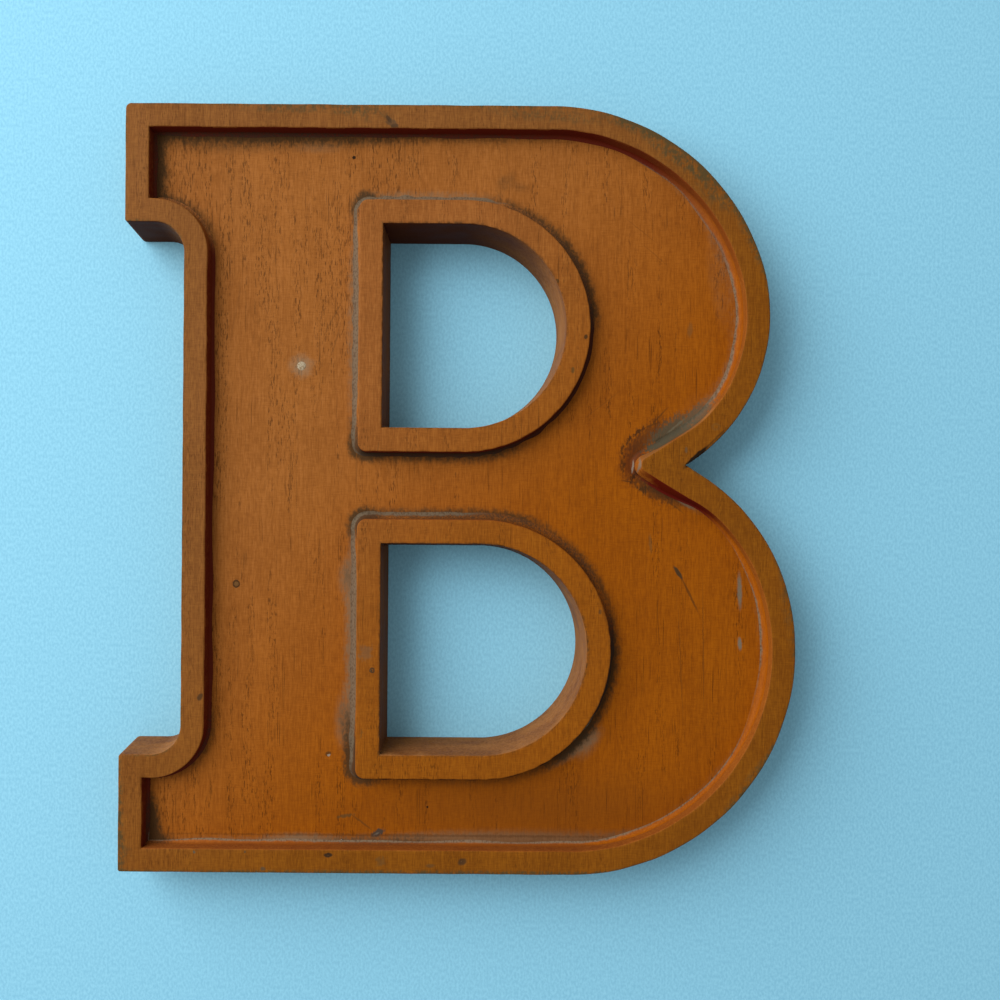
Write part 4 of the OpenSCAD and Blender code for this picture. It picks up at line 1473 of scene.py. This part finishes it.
@dataclass
class Fillets:
    """Filler run by hand into the corners at the feet of the borders, hollow in section.

    Attributes:
        outer_finish, counter_finish: finishes of the outer fillet and the counters'.
        radius: the hollow's full radius.
        edge: how thick the filler is where it runs out.
        outer_size, counter_size: shares of the radius: everywhere, more where the border
        faces down and to the right, away from the lamp, and how uneven.
    """

    letter: Letter
    outer_finish: Material
    counter_finish: Material
    radius: float = 3.0
    edge: float = 0.06
    outer_size: Triple = (0.5, -0.15, 0.06)
    counter_size: Triple = (0.85, -0.45, 0.05)

    def ring(self, name: str, rail: Rail, wall: Array, slope: Array, side: float,
             size: Array) -> None:
        """Builds one fillet: from the field up to the wall on a hollow quarter round.

        A point of the hollow at angle t lies (1 - sin t) and (1 - cos t) of the radius from
        the wall and the field, and the whole leans back with the wall.

        Args:
            name: the node it stands for.
            rail: the outline it follows.
            wall: offset of the border's wall on the face, at each point of the rail.
            slope: how much further the wall's foot stands out than an upright wall's.
            side: the way from the wall over the field, 1 or -1.
            size: the hollow's radius at each point.
        """
        a, n = self.letter, len(rail)
        t = np.radians(np.linspace(0, 90, 10))[:, None]
        low = wall + side * (a.out(a.field_z) + slope)
        lean, reach = a.lean + slope / (a.thick - a.field_z), size + self.edge
        out, up = self.edge + size * (1 - np.sin(t)), self.edge + size * (1 - np.cos(t))
        hollow = low + side * (out - lean * up - self.edge * up / reach)
        rows = np.array([low, low + side * reach, *hollow, low - side * lean * reach])
        lift = np.array([np.zeros(n), np.zeros(n), *up, reach])
        shape = swept(rail, rows, a.field_z + lift, np.zeros(len(rows)))
        xy = rail.at(rows)
        # The attribute "shaded" lays painted shade on the sides that face away from the lamp; the
        # corner list lays dust and painted shade
        shape.paint = {"across": np.repeat([0, 0, *t[:, 0] / t[-1, 0], 1], n),
                       "shaded": np.tile(shaded(side * rail.fan), len(rows)),
                       "grime_and_shade": gathered(CORNER_GRIME_AND_SHADE, xy).ravel(),
                       "chalk": gathered(CORNER_CHALK, xy).ravel()}
        finish = self.outer_finish if side < 0 else self.counter_finish
        piece = make_piece(name + "_hollow", shape, [finish])
        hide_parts(name)
        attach(piece, "root")

    def build(self) -> None:
        """Builds the three fillets, each a little uneven and smaller on the shaded sides."""
        a = self.letter
        outer, top, slope = a.inner_wall()
        even, shaded_side, wavy = self.outer_size
        uneven = (even + shaded_side * shaded(-outer.fan) + wavy * waves(outer.along(), (5, 40), 41)
                  + gathered(FILLER_SIZE, outer.at(top)))
        self.ring("outer_fillet", outer, top, slope, -1.0, self.radius * uneven.clip(0.25, 1.1))
        even, shaded_side, wavy = self.counter_size
        for upper, name in ((True, "upper_counter_fillet"), (False, "lower_counter_fillet")):
            rail = a.counter(upper)
            plain, wander = np.zeros(len(rail)), waves(rail.along(), (8, 50), 43 + upper)
            uneven = even + shaded_side * shaded(rail.fan) + wavy * wander
            self.ring(name, rail, plain + a.counter_border_w, plain, 1.0,
                      self.radius * uneven.clip(0.3, 1.1))


def turned(profile: Array, x: float, y: float, count: int) -> Shape:
    """Turns a profile of radius and height round an upright axis, its ends closed by fans."""
    ring = way(360 * np.arange(count) / count)
    points = np.concatenate([profile[:, :1, None] * ring[None] + [x, y],
                             np.broadcast_to(profile[:, 1:, None], (len(profile), count, 1))], -1)
    ends = [[x, y, profile[0, 1]], [x, y, profile[-1, 1]]]
    i, last = np.arange(count), len(profile) * count
    after, rim = (i + 1) % count, last - count
    faces = [grid_faces(len(profile), count, False), np.stack([np.full(count, last), after, i], 1),
             np.stack([np.full(count, last + 1), i + rim, after + rim], 1)]
    return Shape(np.concatenate([points.reshape(-1, 3), ends]), faces,
                 [np.zeros(len(block)) for block in faces])


@dataclass
class Fastenings:
    """The brads whose heads show in the borders, and the fillings of two old holes.

    Attributes:
        iron, filler: the finishes.
        outer_places, counter_places: where brads pin the outer border and a counter's.
        shank_r, head_r, length, head_t: a brad's sizes.
    """

    letter: Letter
    iron: Material
    filler: Material
    outer_places: tuple[Pair, ...] = ((106.5, 298.0), (83.5, 7.0), (136.5, 5.0))
    counter_places: tuple[Pair, ...] = ((100.0, 80.5),)
    shank_r: float = 0.7
    head_r: float = 1.2
    length: float = 16.0
    head_t: float = 0.6

    def brads(self, name: str, places: tuple[Pair, ...], drop: Array) -> None:
        """Builds brads: a point, a shank and a slightly domed head just proud of the border.

        Args:
            name: the node they stand for.
            places: their middles.
            drop: how far the border's top lies below full height at each.
        """
        low, r, head, parts = self.letter.thick - self.length, self.shank_r, self.head_r, []
        for (x, y), down in zip(places, drop):
            top = self.letter.thick - float(down) + 0.02
            neck = top - self.head_t
            profile = np.array([
                [0.12, low], [r, low + 1.8], [r, neck - 0.12], [head, neck], [head, top - 0.18],
                [1.0, top - 0.08], [0.72, top - 0.03], [0.4, top - 0.008], [0.1, top]])
            parts.append(turned(profile, x, y, 24))
        piece = make_piece(name + "_driven", stacked(parts), [self.iron])
        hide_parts(name)
        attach(piece, "root")

    def fillings(self) -> None:
        """Builds the fillings, a little domed where they were rubbed off."""
        z, parts = self.letter.field_z, []
        low = z - Boards.filling_depth
        for x, y, across in Boards.filling_places:
            r = across / 2 - 0.02
            profile = np.array([[r * 0.9, low + 0.02], [r, low + 0.2], [r, z - 0.06],
                                [r * 0.93, z + 0.02], [r * 0.6, z + 0.07], [r * 0.15, z + 0.08]])
            parts.append(turned(profile, x, y, 28))
        piece = make_piece("hole_fillings_rubbed", stacked(parts), [self.filler])
        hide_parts("hole_fillings")
        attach(piece, "root")

    def build(self, borders: Borders) -> None:
        """Builds brads and fillings."""
        for name, places in (("outer_border_brads", self.outer_places),
                             ("counter_border_brad", self.counter_places)):
            self.brads(name, places, borders.top_drop(np.array(places)))
        self.fillings()


@dataclass
class Studio:
    """The paper, the light and the camera, which looks straight down as in the photo.

    Attributes:
        lens_mm, sensor_mm: of the camera.
        height_mm: how high it stands over the paper.
        over_mm: the place under it, from the letter's middle.
        roll: how far it is turned, in radians.
        shift: how far the photo, a crop, lies from the lens's middle, as shares of its width.
        room: strength of the light from all round.
        lamp_w, lamp_m, lamp_at: the lamp's power, width and place in metres.
        paper_m: half the paper's width.
    """

    lens_mm: float = 35.33
    sensor_mm: float = 36.0
    height_mm: float = 414.4
    over_mm: Pair = (-2.5, -6.8)
    roll: float = 0.0077
    shift: Pair = (0.0479, 0.0068)
    room: float = 0.38
    lamp_w: float = 31
    lamp_m: float = 1.5
    lamp_at: Triple = (-1.05, 0.6, 0.95)
    paper_m: float = 2.0

    def placed(self, name: str, data: bpy.types.ID) -> Object:
        """Puts an object into the scene."""
        thing = bpy.data.objects.new(name, data)
        bpy.context.scene.collection.objects.link(thing)
        return thing

    def camera(self) -> None:
        """Stands the camera over the letter."""
        data = bpy.data.cameras.new("camera")
        data.lens, data.sensor_width, data.sensor_fit = self.lens_mm, self.sensor_mm, "HORIZONTAL"
        data.shift_x, data.shift_y = self.shift
        data.clip_start = 0.01
        camera = self.placed("camera", data)
        camera.location = [v * MM for v in (*self.over_mm, self.height_mm)]
        camera.rotation_euler = (0, 0, self.roll)
        bpy.context.scene.camera = camera

    def light(self) -> None:
        """Hangs one soft lamp at the upper left, and lets the room light the rest."""
        world = bpy.data.worlds.new("room")
        world.use_nodes = True
        back = world.node_tree.nodes["Background"]
        back.inputs["Color"].default_value = (1, 1, 1, 1)
        back.inputs["Strength"].default_value = self.room
        bpy.context.scene.world = world
        data = bpy.data.lights.new("window", "AREA")
        data.shape, data.size, data.energy = "SQUARE", self.lamp_m, self.lamp_w
        lamp = self.placed("window", data)
        lamp.location = self.lamp_at
        lamp.rotation_euler = (-Vector(self.lamp_at)).to_track_quat("-Z", "Y").to_euler()

    def paper(self) -> None:
        """Lays the paper: one flat sheet, far larger than the view."""
        mesh = bpy.data.meshes.new("paper")
        corners = [(x * self.paper_m, y * self.paper_m, 0)
                   for x, y in ((-1, -1), (1, -1), (1, 1), (-1, 1))]
        mesh.from_pydata(corners, [], [(0, 1, 2, 3)])
        mesh.materials.append(Paper("pale_blue_paper", 0.9).build())
        self.placed("paper", mesh)

    def build(self) -> None:
        """Sets the stage and the plain view of colours."""
        self.paper()
        self.light()
        self.camera()
        bpy.context.scene.view_settings.view_transform = "Standard"


def main() -> None:
    """Builds the letter, its light and its camera."""
    logging.basicConfig(level=logging.INFO, format="%(message)s")
    # Every painted finish keeps a paler, greyer upper left, a painted sheen from the lamp
    face = PaintedWood("thin_orange_paint_on_pine", specular=0.07, marks=FACE_MARKS).build()
    outer_top = PaintedWood(
        "rubbed_paint_on_outer_border", specular=0.07, pale="#98642c", mid="#845224",
        deep="#6b3f18", sheen_free_tint="#ffee80", pores=0.5, open_left=0.03, grime_and_shade="#4c4228", speckle=5.0,
        marks=BORDER_MARKS).build()
    counter_top = PaintedWood(
        "rubbed_paint_on_counter_borders", specular=0.07, pale="#a86c34", mid="#945825",
        deep="#7a471c", sheen_free_tint="#faea74", pores=0.6, open_left=0.04, speckle=4.0,
        marks=COUNTER_BORDER_MARKS).build()
    # The recess walls' dark red where they face away from the lamp is painted shade
    recess = PaintedWood(
        "recess_paint_and_painted_shade", specular=0.1, mid="#9a5d25", deep="#80461a", sheen_free_tint="#fceec0",
        pores=0.2, grime_and_shade="#560f04", speckle=1.5, cover=0.95, marks=WALL_MARKS).build()
    # Side grain with painted shade on the sides that face away from the lamp
    side = BareWood("side_grain_and_painted_shade", specular=0.05).build()
    # Both fillers carry painted shade on the sides that face away from the lamp
    filler = FilledCorner(
        "painted_filler", specular=0.1, pale="#b0702f", mid="#a0602a", deep="#8a4e20", pores=0.15,
        grime_and_shade="#560f04", marks=NOTCH_MARKS + FILLER_MARKS).build()
    dull = FilledCorner("filler_at_counters_dust_and_painted_shade", specular=0.1, pores=0.15, bare="#6c5e4b",
                        width=0.8, grime_and_shade="#330e06").build()
    iron = DarkIron("painted_brads", 0.7, specular=0.15).build()
    putty = Putty("pale_plug", 0.8, specular=0.2).build()
    Boards(LETTER, (face, side, side)).build()
    borders = Borders(LETTER, outer_top, counter_top, side, recess)
    borders.build()
    Fillets(LETTER, filler, dull).build()
    Fastenings(LETTER, iron, putty).build(borders)
    Studio().build()
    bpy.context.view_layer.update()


if __name__ == "__main__":
    main()
